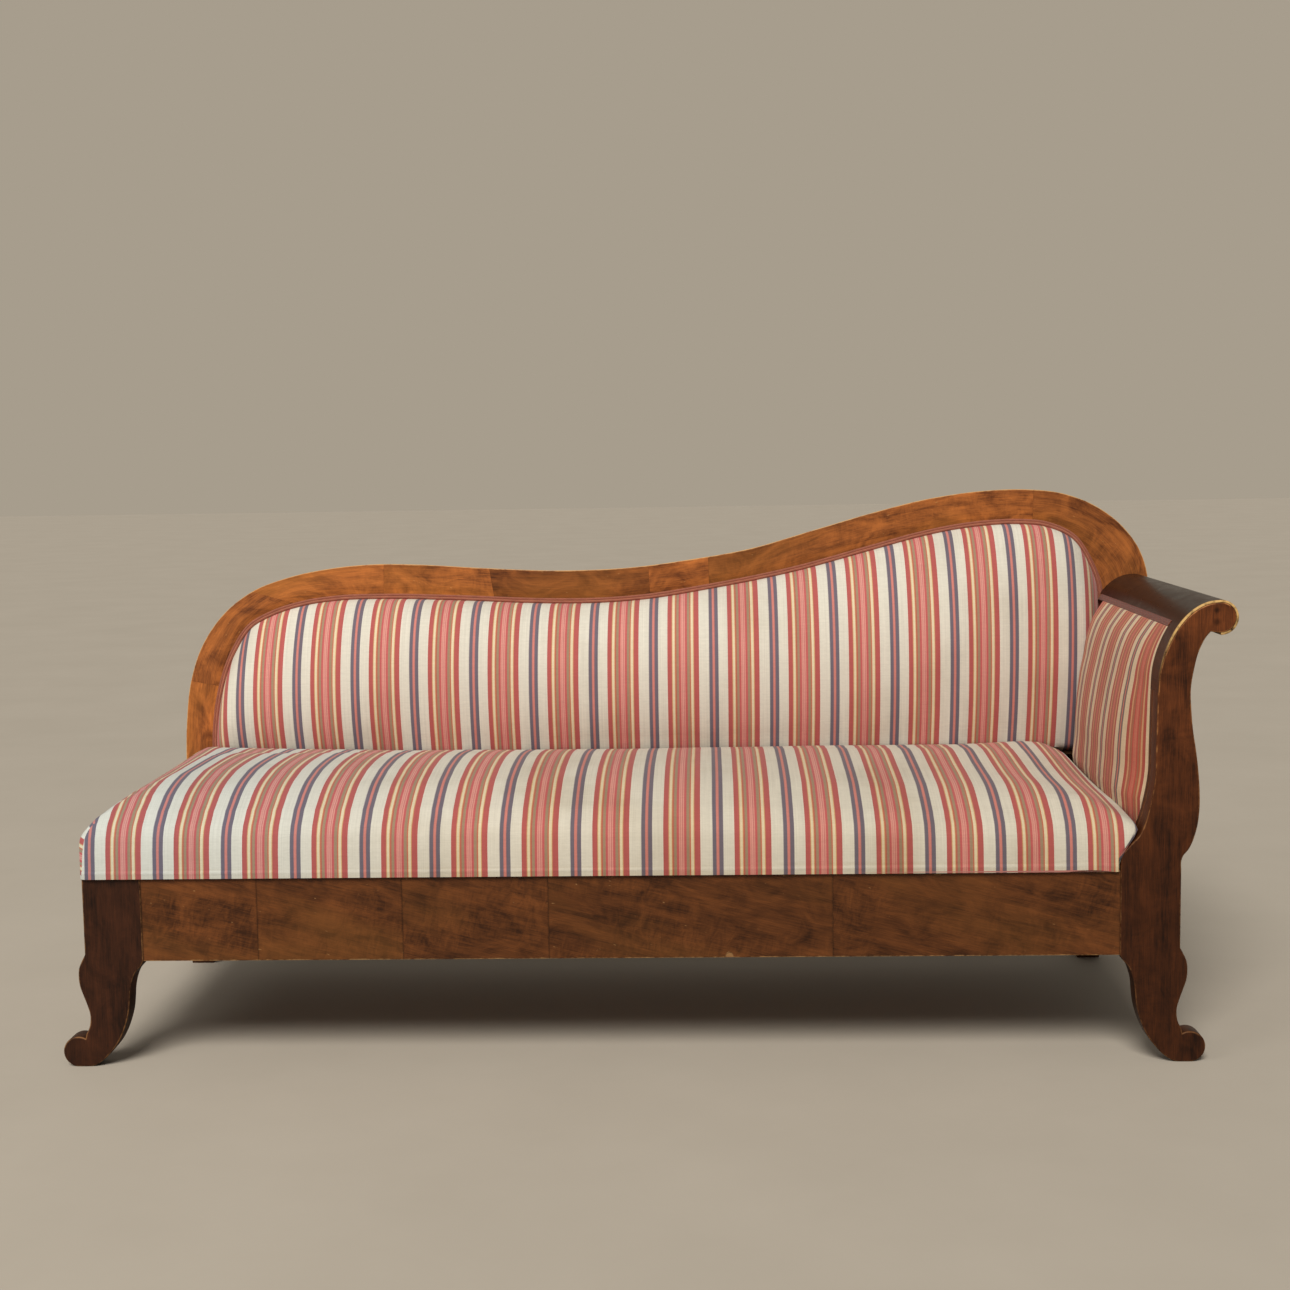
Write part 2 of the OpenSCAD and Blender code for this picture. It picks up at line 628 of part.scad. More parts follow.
// Depth of the pad in front of the board, a share t of the way from its edge to its middle
// line: a quarter of an ellipse, fuller along the bottom edge, and less deep below the middle
function pad_point(b, t, shrink) = let (c = pad_centre(b[0]),
    p = mix(b, c, t) + (c - b) / norm(c - b) * shrink,
    low = ease(-0.6, -0.95, (b[1] - c[1]) / (c[1] - pad_bottom)),
    u = pow(t, mix(1, 0.35, low)),
    rise = sqrt(1 - (1 - u) * (1 - u)),
    droop = 1 - 0.3 * pow(max(0, (c[1] - p[1]) / (c[1] - pad_bottom)), 2))
    [p[0], veneer_t - max(0, pad_swell(p[0]) * rise * droop - shrink), p[1]];
pad_ring_shares = [0, 0.025, 0.09, 0.2, 0.38, 0.6, 0.82];
function pad_rings(shrink) = [for (t = pad_ring_shares) [for (b = pad_edge)
    pad_point(b, t, shrink)]];

pad_base = web_t * 2 + hessian_t + 3 * fit_gap;
hessian_inset = cover_t + soft_gap;
// Hessian: one flat sheet over the webbing, with the pad's outline
module back_hessian() {
    outline = [for (b = pad_edge) let (c = pad_centre(b[0]))
        b + (c - b) / norm(c - b) * hessian_inset * 2];
    color("#b89b6a") on_back() board(outline, veneer_t - pad_base, hessian_t);
}
// The stuffing is the pad's form inside the cover, down to the hessian
module back_stuffing() {
    rings = pad_rings(cover_t + soft_gap);
    foot = veneer_t - pad_base - fit_gap / 2;
    color("#d8c9a6") on_back() skin_of(concat([[for (p = rings[1]) [p[0], foot, p[2]]]],
        [for (i = [1:len(rings) - 1]) [for (p = rings[i])
        [p[0], min(p[1], foot - i * fit_gap), p[2]]]]), pad_tip, pad_tip);
}
module back_cover() {
    color("#efe3c4") on_back() skin_of(concat(turned_round(pad_rings(cover_t)), pad_rings(0)),
        pad_tip, pad_tip, len(pad_ring_shares) - 1);
}
module back_gimp() {
    a = pad_first * crest_steps;
    b = pad_last * crest_steps;
    color("#8a3a22") on_back() board(band(crest_inner, a, b, 0, gimp_w), -gimp_t,
        gimp_t + veneer_t);
}
lining_in = 14;
module back_rear_lining() {
    color("#8d7a55") above_rails() on_back()
        board(beside(crest_outer, lining_in), back_t, cover_t);
}

// Scrolled arm behind the post
former_y = board_back_y;
batten_y = former_y + former_t;
arm_rear_y = rear_rail_y - arm_back_gap;
arm_board_y = arm_rear_y - arm_board_t - soft_gap;
outer_skin = cover_t + soft_gap;
// Upholstered stretch of the inner outline, at the distance d inside it: straight up from the
// rail, then along the outline to the lower edge of the gimp
arm_gimp_w = 13;
gimp_share = arm_gimp_w / norm(arm_inner[cap_start] - arm_inner[cap_start - 1]);
function gimp_low(d) = mix(beside(arm_inner, d)[cap_start], beside(arm_inner, d)[cap_start - 1],
    gimp_share);
function uph(d) = concat([[beside(arm_inner, d)[seat_line][0], rail_top + soft_gap]],
    part_of(beside(arm_inner, d), seat_line, cap_start - 1), [gimp_low(d)]);
// Underside of the top rail: a chord from the step behind the gimp to the scroll's lower end
chord_in = gimp_low(arm_rebate);
chord_out = beside(arm_inner, cap_t + fit_gap / 3)[arm_end];
neck_x = arm_outer[arm_steps][0] - outer_skin;
neck_point = mix(chord_in, chord_out, (neck_x - chord_in[0]) / (chord_out[0] - chord_in[0]));
stepped_outline = concat(uph(arm_rebate), [neck_point],
    [for (q = part_of(arm_outer, 2 * arm_steps, len(arm_outer) - 1)) q - [outer_skin, 0]]);

module arm_front_former() {
    color("#5a3018") board(at_right(concat(arm_wood, arm_outer)), former_y, former_t);
}
module arm_front_batten() {
    color("#b08a5c") board(at_right(stepped_outline), batten_y, batten_t);
}
module arm_rear_board() {
    color("#b08a5c") board(at_right(stepped_outline), arm_board_y, arm_board_t);
}
arm_rail_w = 22;
arm_rail_h = 45;
module arm_bottom_rail() {
    y0 = batten_y + batten_t;
    color("#b08a5c") translate([right_x + uph(arm_rebate)[0][0] + fit_gap, y0, rail_top])
        cube([arm_rail_w, arm_board_y - y0, arm_rail_h]);
}
module arm_top_rail() {
    wood = part_of(beside(arm_inner, cap_t + fit_gap / 3), cap_start, arm_end);
    rebate = [gimp_low(gimp_t / 2 + fit_gap / 3),
        beside(arm_inner, gimp_t / 2 + fit_gap / 3)[cap_start]];
    lift = [0, fit_gap / 3];
    color("#b08a5c") before_back(gimp_t + fit_gap)
        board(at_right(concat(rebate, wood, [chord_in + lift])), batten_y, overall_d);
}
// The cap over the arm, with the strip that edges the post below it
module arm_cap() {
    color("#2a130a") {
        before_back(gimp_t + fit_gap) board(at_right(band(arm_inner, cap_start, arm_end, 0, cap_t)),
            front_y, overall_d);
        board(at_right(band(arm_inner, cap_low, cap_start, 0, cap_t)), front_y,
            board_t + former_t);
    }
}
arm_webs = 4;
// Straps along the arm, on the stepped edge of the batten and the rear board
module arm_webbing() {
    top = len(uph(0)) - 1;
    per_web = floor(top / arm_webs);
    color("#9a7b52") for (i = [0:arm_webs - 1]) {
        a = i * per_web;
        b = a + per_web - 1;
        board(at_right(concat(part_of(uph(arm_rebate - web_t), a, b),
            turned_round(part_of(uph(arm_rebate - fit_gap / 3), a, b)))), batten_y,
            arm_board_y + arm_board_t - batten_y);
    }
}
// Swell of the arm pad: by height along the upholstered line, and by depth, an ellipse at
// each end
arm_swell_shares = [[0, 0.5], [0.2, 0.75], [0.3, 0.93], [0.4, 1], [0.55, 0.95], [0.65, 0.8],
    [0.74, 0.56], [0.83, 0.34], [0.92, 0.14], [1, 0]];
arm_depth_shares = [0, 0.03, 0.09, 0.18, 0.36, 0.64, 0.82, 0.91, 0.97, 1];
arm_side_share = 0.18;
arm_face = uph(0);
arm_top_z = arm_face[len(arm_face) - 1][1];
function arm_lift(z) = arm_crown * lookup((z - rail_top) / (arm_top_z - rail_top),
    arm_swell_shares);
function arm_fill(t) = let (e = min(1, min(t, 1 - t) / arm_side_share))
    sqrt(1 - (1 - e) * (1 - e));
cover_y0 = batten_y + soft_gap;
cover_y1 = arm_rear_y;
// One row of the pad's face, at the depth share t and the distance d inside the cover's face
function arm_row(t, d) = let (line = uph(d)) [for (i = [0:len(line) - 1])
    [right_x + line[i][0] - arm_lift(arm_face[i][1]) * arm_fill(t),
    mix(cover_y0 + d, cover_y1 - d, t), line[i][1]]];
module arm_cover() {
    rings = [for (t = arm_depth_shares) concat(arm_row(t, 0),
        turned_round(arm_row(t, cover_t)))];
    color("#efe3c4") skin_of(rings);
}
module arm_stuffing() {
    rear = uph(arm_rebate - web_t - fit_gap / 3);
    rings = [for (t = arm_depth_shares) let (face = arm_row(t, cover_t + soft_gap))
        concat(face, [for (i = [len(rear) - 1:-1:0])
        [right_x + rear[i][0], face[i][1], rear[i][1]]])];
    color("#d8c9a6") skin_of(rings, turned = len(rings) - 1);
}
module arm_gimp() {
    color("#8a3a22") before_back(back_crown * 0.5) board(at_right(concat(
        [gimp_low(-gimp_t / 2), beside(arm_inner, -gimp_t / 2)[cap_start]],
        [beside(arm_inner, gimp_t / 2)[cap_start], gimp_low(gimp_t / 2)])), batten_y, overall_d);
}
module outer_arm_cover() {
    color("#efe3c4") before_back(fit_gap) board(at_right(
        band(arm_outer, 2 * arm_steps, len(arm_outer) - 2, 0, cover_t)), batten_y, overall_d);
}

// Loose seat: plan outline of the cushion
seat_inset = 3;
seat_lap = 28;
seat_x0 = outer_left_x + seat_inset;
seat_x1 = right_x + seat_lap;
seat_y0 = front_y - seat_overhang;
seat_y1 = seat_y0 + seat_d;
seat_mid_y = (seat_y0 + seat_y1) / 2;
seat_half = seat_d / 2;
seat_corner_r = 14;
seat_base = rail_top + fit_gap;
seat_foot_x1 = right_x - seat_post_gap;
// Points round the cushion: straight sides and four round corners, from the front left corner
side_long = 15;
side_short = 3;
corner_steps = 2;
function corner(cx, cy, a0) = [for (i = [0:corner_steps]) let (a = a0 + 90 * i / corner_steps)
    [cx + seat_corner_r * cos(a), cy + seat_corner_r * sin(a)]];
function between(a, b, n) = [for (i = [1:n]) mix(a, b, i / (n + 1))];
corner_fl = corner(seat_x0 + seat_corner_r, seat_y0 + seat_corner_r, 180);
corner_fr = corner(seat_x1 - seat_corner_r, seat_y0 + seat_corner_r, 270);
corner_rr = corner(seat_x1 - seat_corner_r, seat_y1 - seat_corner_r, 0);
corner_rl = corner(seat_x0 + seat_corner_r, seat_y1 - seat_corner_r, 90);
seat_edge = concat(corner_fl, between(corner_fl[corner_steps], corner_fr[0], side_long),
    corner_fr, between(corner_fr[corner_steps], corner_rr[0], side_short), corner_rr,
    between(corner_rr[corner_steps], corner_rl[0], side_long), corner_rl,
    between(corner_rl[corner_steps], corner_fl[0], side_short));
// Section of the cushion from its bottom edge to its middle: inset as a share of half its
// depth, height as a share of its height
seat_section_shares = [[0.0056, 0], [0, 0.08], [0.006, 0.22], [0.016, 0.33], [0.033, 0.475],
    [0.074, 0.622], [0.163, 0.765], [0.311, 0.868], [0.556, 0.942], [0.8, 0.99]];
// The points of the edge in the middle of the left end, and in the middle of a corner
seat_tip = len(seat_edge) - 2;
corner_tip = 1;
wall_rings = 3;
function seat_centre(b) = [min(seat_x1 - seat_half, max(seat_x0 + seat_half, b[0])), seat_mid_y];
// The right end is cut back below the seat's widest line, to pass the curve of the post,
// and it narrows towards the back, to pass the swell of the arm pad
seat_shear = 100;
cut_low_share = 0.13;
cut_high_share = 0.43;
seat_taper = 18;
function seat_cut(x, y, h) = max(0, x - seat_x1 + seat_shear) / seat_shear * max(
    (seat_x1 - seat_foot_x1) * (1 - ease(cut_low_share, cut_high_share, h)),
    seat_taper * (y - seat_y0) / seat_d);
// Towards its ends the cushion reaches further back, as the back pad swells less there
seat_follow_share = 0.75;
function seat_reach(x, rear) = seat_follow_share * rear * (back_crown - pad_swell(x));
function seat_point(b, s, d) = let (c = seat_centre(b), v = (c - b) / norm(c - b),
    rear = ease(0.2, 0.9, (b[1] - seat_mid_y) / seat_half),
    inset = s[1] < 0.4 ? s[0] * (1 - rear) : pow(s[0], mix(1, 3, rear)),
    p = mix(b, c, inset) + v * d,
    fall = 1 - 0.12 * ease(0, 1, (c[0]) / (seat_x1 - seat_half)),
    h = s[1] * (s[1] > 0.4 ? mix(1, fall, (s[1] - 0.4) / 0.6) : 1))
    [p[0] - seat_cut(p[0], p[1], h),
        p[1] + seat_reach(p[0], ease(0.5, 1, (p[1] - seat_mid_y) / seat_half)),
        seat_base + h * seat_h - d * ease(0.3, 0.8, s[1])];
function seat_rings(a, d) = [for (i = [a:len(seat_section_shares) - 1])
    [for (b = seat_edge) seat_point(b, seat_section_shares[i], d)]];

module seat_cover() {
    color("#efe3c4") skin_of(concat(turned_round(seat_rings(0, cover_t)), seat_rings(0, 0)),
        seat_tip, seat_tip, len(seat_section_shares) - 1);
}

// Seat frame: four rails, two cross rails, dowelled
frame_in = 8;
frame_x0 = seat_x0 + frame_in;
frame_x1 = seat_foot_x1 - frame_in;
frame_y0 = seat_y0 + frame_in;
frame_y1 = seat_y1 - frame_in;
frame_top = seat_base + seat_rail_h;
module seat_front_rail() {
    color("#c2a274") difference() {
        translate([frame_x0, frame_y0, seat_base])
            cube([frame_x1 - frame_x0, seat_rail_w, seat_rail_h]);
        seat_frame_dowels(dowel_fit);
    }
}
module seat_rear_rail() {
    color("#c2a274") difference() {
        translate([frame_x0, frame_y1 - seat_rail_w, seat_base])
            cube([frame_x1 - frame_x0, seat_rail_w, seat_rail_h]);
        seat_frame_dowels(dowel_fit);
    }
}
module seat_side_rail(x0) {
    difference() {
        translate([x0, frame_y0 + seat_rail_w, seat_base])
            cube([seat_rail_w, frame_y1 - frame_y0 - 2 * seat_rail_w, seat_rail_h]);
        seat_frame_dowels(dowel_fit);
    }
}
module seat_left_rail() {
    color("#c2a274") seat_side_rail(frame_x0);
}
module seat_right_rail() {
    color("#c2a274") seat_side_rail(frame_x1 - seat_rail_w);
}
cross_x_shares = [0.335, 0.665];
cross_w = 40;
cross_h = 30;
module seat_cross_rails() {
    color("#c2a274") for (s = cross_x_shares)
        translate([mix(frame_x0, frame_x1, s) - cross_w / 2, frame_y0 + seat_rail_w, seat_base])
            cube([cross_w, frame_y1 - frame_y0 - 2 * seat_rail_w, cross_h]);
}
module seat_frame_dowels(gap) {
    for (x = [frame_x0 + seat_rail_w / 2, frame_x1 - seat_rail_w / 2], k = [-1, 1],
        y = [frame_y0 + seat_rail_w, frame_y1 - seat_rail_w])
        dowel_y(x + k * seat_rail_w / 4, y, seat_base + seat_rail_h / 2, gap);
}
module seat_dowels() {
    color("#d2b686") seat_frame_dowels(0);
}
// Cleats under the seat frame, inside the couch's rails, that keep it from sliding
webs_across = 15;
web_x0 = frame_x0 + seat_rail_w + web_w;
web_x1 = frame_x1 - seat_rail_w - web_w;
function web_x(i) = mix(web_x0, web_x1, i / (webs_across - 1));
cleat_w = 22;
cleat_l = 80;
cleat_h = 14;
cleat_gap = 7;
// A cleat takes the place of each of these straps
cleat_places = [1, 7, 13];
module seat_cleats() {
    y_front = front_y + veneer_t + rail_t + cleat_gap;
    color("#c2a274") for (i = cleat_places) {
        x = web_x(i) - cleat_l / 2;
        translate([x, y_front, seat_base - cleat_h]) cube([cleat_l, cleat_w, cleat_h]);
        translate([x, bearer_y - cleat_gap - cleat_w, seat_base - cleat_h])
            cube([cleat_l, cleat_w, cleat_h]);
    }
}

// Seat webbing: straps from front to rear under the frame, and straps woven along
web_inset = 14;
web_places = [for (i = [0:webs_across - 1]) if (len(search(i, cleat_places)) == 0) web_x(i)];
module seat_webbing() {
    y0 = frame_y0 + seat_rail_w - web_inset;
    y1 = frame_y1 - seat_rail_w + web_inset;
    color("#9a7b52") {
        for (x = web_places) translate([x - web_w / 2, y0, seat_base - web_t])
            cube([web_w, y1 - y0, web_t]);
        for (i = [0:2]) {
            y = mix(y0 + web_inset + web_w, y1 - web_inset - web_w, i / 2) - web_w / 2;
            translate([frame_x0 + seat_rail_w - web_inset, y, seat_base - 2 * web_t])
                cube([frame_x1 - frame_x0 - 2 * (seat_rail_w - web_inset), web_w, web_t]);
        }
    }
}

// Springs: waisted coils that stand on the webbing
spring_r = 36;
spring_waist = 9;
wire_r = 1.9;
spring_turns = 4;
turn_steps = 6;
wire_sides = 4;
springs_deep = 3;
dome_h = seat_h * 0.62;
spring_foot = seat_base + wire_r + fit_gap / 3;
spring_top = seat_base + dome_h - wire_r - 2 * fit_gap;
function coil_point(t) = let (r = spring_r - spring_waist * sin(180 * t), a = 360 * spring_turns * t)
    [r * cos(a), r * sin(a), mix(spring_foot, spring_top, t)];
coil = [for (i = [0:spring_turns * turn_steps]) coil_point(i / (spring_turns * turn_steps))];
module spring_at(x, y) {
    n = len(coil) - 1;
    rings = [for (i = [0:n]) let (v = coil[min(n, i + 1)] - coil[max(0, i - 1)],
        out = [coil[i][0], coil[i][1], 0] / norm([coil[i][0], coil[i][1]]),
        up = cross(v / norm(v), out))
        [for (k = [0:wire_sides - 1]) let (a = 360 * k / wire_sides)
            coil[i] + wire_r * (cos(a) * out + sin(a) * up) + [x, y, 0]]];
    skin_of(rings);
}
// Least gap between neighbouring turns, measured on the coil's points
turn_gap = min([for (i = [0:len(coil) - turn_steps - 1])
    norm(coil[i + turn_steps] - coil[i])]) - 2 * wire_r;
echo(spring_turn_gap = turn_gap);
spring_end_gap = 60;
spring_side_gap = 12;
spring_x0 = frame_x0 + seat_rail_w + spring_r + spring_end_gap;
spring_x1 = frame_x1 - seat_rail_w - spring_r - spring_end_gap;
module seat_springs() {
    y0 = frame_y0 + seat_rail_w + spring_r + spring_side_gap;
    y1 = frame_y1 - seat_rail_w - spring_r - spring_side_gap;
    color("#7c7a74") for (i = [0:springs_along - 1], j = [0:springs_deep - 1])
        spring_at(mix(spring_x0, spring_x1, (i + 0.5) / springs_along),
            mix(y0, y1, j / (springs_deep - 1)));
}

// Hessian dome over the springs: the cushion's plan drawn in, at two heights
dome_low = [0.93, 0.82];
dome_up = [0.91, 0.74];
function dome_ring(k, z) = [for (b = seat_edge) let (cx = (frame_x0 + frame_x1) / 2)
    [cx + (b[0] - (seat_x0 + seat_x1) / 2) * k[0], seat_mid_y + (b[1] - seat_mid_y) * k[1], z]];
module seat_hessian() {
    color("#b89b6a") skin_of([dome_ring(dome_up * 0.995, seat_base + dome_h),
        dome_ring(dome_low * 0.995, frame_top + fit_gap / 2),
        dome_ring(dome_low, frame_top + fit_gap / 2),
        dome_ring(dome_up, seat_base + dome_h + hessian_t)], corner_tip, corner_tip);
}
module seat_stuffing() {
    d = cover_t + soft_gap;
    rings = seat_rings(wall_rings, d);
    foot_shares = [seat_section_shares[wall_rings][0], seat_section_shares[wall_rings - 1][1]];
    foot = [for (b = seat_edge) let (p = seat_point(b, foot_shares, d))
        [p[0], p[1], frame_top + fit_gap / 2]];
    color("#d8c9a6") skin_of(concat([
        dome_ring(dome_up, seat_base + dome_h + hessian_t + fit_gap),
        dome_ring(dome_low * 1.004, frame_top + fit_gap / 2), foot], rings), corner_tip, seat_tip);
}

// Tacks through the ends of the straps that run from front to rear
tack_r = 3;
tack_h = 1.2;
module seat_tacks() {
    y0 = frame_y0 + seat_rail_w - web_inset / 2;
    y1 = frame_y1 - seat_rail_w + web_inset / 2;
    color("#4a4640") for (x = web_places, k = [-1, 1], y = [y0, y1])
        translate([x + k * web_w / 4, y, seat_base - web_t - tack_h])
            cylinder(h = tack_h, r = tack_r, $fn = 16);
}

front_left_leg();
front_right_post();
rear_left_leg();
rear_right_leg();
front_rail();
front_rail_veneer();
rear_rail();
left_end_rail();
right_end_rail();
rail_dowels();
corner_blocks();
corner_block_screws();
cross_stretchers();
seat_bearer();
back_left_stile();
back_crest_left();
back_crest_right();
back_right_stile();
back_bottom_rail();
back_veneer();
back_dowels();
back_webbing();
back_hessian();
back_stuffing();
back_cover();
back_gimp();
back_rear_lining();
arm_front_former();
arm_front_batten();
arm_rear_board();
arm_bottom_rail();
arm_top_rail();
arm_cap();
arm_webbing();
arm_stuffing();
arm_cover();
arm_gimp();
outer_arm_cover();
seat_front_rail();
seat_rear_rail();
seat_left_rail();
seat_right_rail();
seat_cross_rails();
seat_dowels();
seat_cleats();
seat_webbing();
seat_springs();
seat_hessian();
seat_stuffing();
seat_cover();
seat_tacks();
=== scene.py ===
import math
import bmesh
import bpy
import numpy as np
from mathutils import Matrix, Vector
from mathutils.kdtree import KDTree


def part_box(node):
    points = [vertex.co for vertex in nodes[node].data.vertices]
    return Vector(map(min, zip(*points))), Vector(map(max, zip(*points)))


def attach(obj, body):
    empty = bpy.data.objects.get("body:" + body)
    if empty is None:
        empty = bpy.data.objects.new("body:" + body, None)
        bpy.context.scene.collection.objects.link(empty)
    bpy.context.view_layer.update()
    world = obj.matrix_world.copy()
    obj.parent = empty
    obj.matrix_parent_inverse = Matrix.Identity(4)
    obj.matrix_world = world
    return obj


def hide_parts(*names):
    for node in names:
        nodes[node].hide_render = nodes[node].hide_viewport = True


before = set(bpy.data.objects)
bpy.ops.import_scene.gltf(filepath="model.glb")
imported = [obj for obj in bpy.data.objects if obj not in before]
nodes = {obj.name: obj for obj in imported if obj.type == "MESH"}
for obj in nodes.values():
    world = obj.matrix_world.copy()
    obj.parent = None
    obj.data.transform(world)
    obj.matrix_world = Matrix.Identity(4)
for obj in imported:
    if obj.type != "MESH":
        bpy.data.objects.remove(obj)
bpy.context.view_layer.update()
scene = bpy.context.scene
print("frame loaded")

# Where the photographer stood, the degrees down, to the left and of tilt, and the lens
cameraView = {"place": (0.1263, -3.5822, 1.0747), "down": 5.978, "left": 1.947, "tilt": 0.8848,
              "lens": 53.02, "sensor": 36.0}


def placeCamera(view):
    down, left, tilt = (math.radians(view[k]) for k in ("down", "left", "tilt"))
    ahead = np.array([-math.sin(left) * math.cos(down), math.cos(left) * math.cos(down),
                      -math.sin(down)])
    level = np.array([math.cos(left), math.sin(left), 0.0])
    under = np.cross(ahead, level)
    right = math.cos(tilt) * level + math.sin(tilt) * under
    below = math.cos(tilt) * under - math.sin(tilt) * level
    turn = Matrix(np.column_stack([right, -below, -ahead]).tolist()).to_4x4()
    data = bpy.data.cameras.new("couchCamera")
    data.lens, data.sensor_width, data.sensor_fit = view["lens"], view["sensor"], "HORIZONTAL"
    camera = bpy.data.objects.new("couchCamera", data)
    camera.matrix_world = Matrix.Translation(view["place"]) @ turn
    scene.collection.objects.link(camera)
    scene.camera = camera


placeCamera(cameraView)
print("camera placed")

# The couch's driving sizes, in metres, as in the frame
couch = {"frontY": -0.357, "railTop": 0.337, "railBottom": 0.190, "leftX": -0.872, "rightX": 0.827,
         "legW": 0.1035, "boardT": 0.040, "toeReach": 0.149, "toeR": 0.027, "scrollReach": 0.194,
         "scrollR": 0.0297, "armH": 0.8015, "capT": 0.004, "formerT": 0.017, "lean": 6.2,
         "backFootY": 0.2223, "backLeftX": -0.958, "backL": 1.979, "backH": 0.642,
         "backBoardT": 0.0348, "veneerT": 0.0012, "tackLand": 0.036, "curveSteps": 10}
leanSin, leanCos = (f(math.radians(couch["lean"])) for f in (math.sin, math.cos))
backFootH = couch["railTop"] / leanCos


def mix(a, b, t):
    return a + (b - a) * t


# 0 up to a, 1 from b on, and 3t^2 - 2t^3 between
def ease(a, b, x):
    t = np.clip((np.asarray(x, float) - a) / (b - a), 0, 1)
    return t * t * (3 - 2 * t)


# A quarter round: 0 up to 0, 1 from 1 on
def quarterRound(t):
    return np.sqrt(1 - (1 - np.clip(t, 0, 1))**2)


# A cubic between neighbouring points; the slope at a point is the mean of the slopes to its
# neighbours, weighted by their distance
def smoothCurve(points, steps=couch["curveSteps"]):
    p = np.asarray(points, float)
    gap = p[1:] - p[:-1]
    size = np.linalg.norm(gap, axis=1, keepdims=True)
    slope = np.vstack([gap[:1] / size[:1], p[1:-1], gap[-1:] / size[-1:]])
    slope[1:-1] = ((gap[:-1] * size[1:] / size[:-1] + gap[1:] * size[:-1] / size[1:])
                   / (size[:-1] + size[1:]))
    t = np.linspace(0, 1, steps, endpoint=False)[None, :, None]
    start, end = p[:-1, None], p[1:, None]
    leave, arrive = (slope[:-1] * size)[:, None], (slope[1:] * size)[:, None]
    run = (start * (2 * t**3 - 3 * t**2 + 1) + leave * (t**3 - 2 * t**2 + t)
           + end * (3 * t**2 - 2 * t**3) + arrive * (t**3 - t**2))
    return np.vstack([run.reshape(-1, 2), p[-1:]])


# Points on a circle from one angle to another, in degrees
def arc(centre, radius, fromAngle, toAngle, steps):
    a = np.radians(np.linspace(fromAngle, toAngle, steps + 1))
    return np.asarray(centre) + radius * np.column_stack([np.cos(a), np.sin(a)])


# The path moved sideways by d, to the right of its direction
def beside(path, d):
    run = np.vstack([path[1] - path[0], path[2:] - path[:-2], path[-1] - path[-2]])
    run = run / np.linalg.norm(run, axis=1, keepdims=True)
    return path + np.asarray(d, float).reshape(-1, 1) * np.column_stack([run[:, 1], -run[:, 0]])


def lengthsAlong(path):
    return np.concatenate([[0], np.cumsum(np.linalg.norm(np.diff(path, axis=0), axis=1))])


# The same path with count points at equal spacing
def evenly(path, count):
    walk = lengthsAlong(path)
    at = np.linspace(0, walk[-1], count)
    return np.column_stack([np.interp(at, walk, path[:, k]) for k in range(path.shape[1])])


# A closed outline with a point every step, that keeps its corners
def filled(outline, step=0.004):
    rows = []
    for a, b in zip(outline, np.roll(outline, -1, axis=0)):
        count = max(1, int(np.linalg.norm(b - a) / step))
        rows.append(mix(a, b, np.linspace(0, 1, count, endpoint=False)[:, None]))
    return np.vstack(rows)


def scaled(table, width, height, x0=0.0, z0=0.0):
    return np.array([x0, z0]) + np.asarray(table, float) * [width, height]


# Outlines, as shares of the sizes above: below the rails, outwards from the rail's end
legInnerShares = [[0, 1], [0.034, 0.953], [0.101, 0.892], [0.148, 0.805], [0.174, 0.711],
                  [0.185, 0.616], [0.201, 0.516], [0.228, 0.432], [0.282, 0.316], [0.349, 0.218],
                  [0.436, 0.132], [0.53, 0.058], [0.638, 0.008], [0.698, 0]]
legOuterShares = [[0.695, 1.06], [0.732, 1.006], [0.772, 0.932], [0.782, 0.847], [0.772, 0.768],
                  [0.732, 0.668], [0.691, 0.574], [0.666, 0.495], [0.666, 0.432], [0.685, 0.363],
                  [0.72, 0.311]]
# The scrolled end: inner line over the rise of the arm, outer line over the rise of its neck
armInnerShares = [[0, 0], [0, 0.028], [0.005, 0.052], [0.08, 0.095], [0.168, 0.136],
                  [0.202, 0.168], [0.253, 0.248], [0.291, 0.34], [0.299, 0.452], [0.304, 0.562],
                  [0.309, 0.663], [0.324, 0.747], [0.381, 0.831], [0.492, 0.917], [0.577, 0.956],
                  [0.662, 0.981], [0.747, 0.995]]
armOuterShares = [[0.76, 1.014], [0.735, 1.001], [0.668, 0.943], [0.619, 0.854], [0.595, 0.771],
                  [0.602, 0.686], [0.619, 0.6], [0.647, 0.516], [0.67, 0.43], [0.684, 0.345],
                  [0.685, 0.259], [0.661, 0.174], [0.593, 0.089], [0.546, 0.06], [0.534, 0.042]]
crestOuterShares = [[0, 0], [0, 0.163], [0.001, 0.292], [0.0059, 0.421], [0.0177, 0.531],
                    [0.0423, 0.639], [0.0741, 0.711], [0.1059, 0.747], [0.1534, 0.777],
                    [0.2004, 0.789], [0.2474, 0.786], [0.3106, 0.773], [0.4041, 0.761],
                    [0.4668, 0.768], [0.529, 0.791], [0.5911, 0.823], [0.6533, 0.876],
                    [0.7155, 0.93], [0.7776, 0.975], [0.8393, 0.998], [0.8701, 1],
                    [0.9161, 0.983], [0.9464, 0.945], [0.9768, 0.87], [0.9919, 0.8],
                    [0.9995, 0.708], [0.998, 0.634], [0.9894, 0.564], [0.9768, 0.47],
                    [0.9702, 0.377], [0.9702, 0.267], [0.9692, 0.158], [0.9616, 0.064],
                    [0.954, 0]]
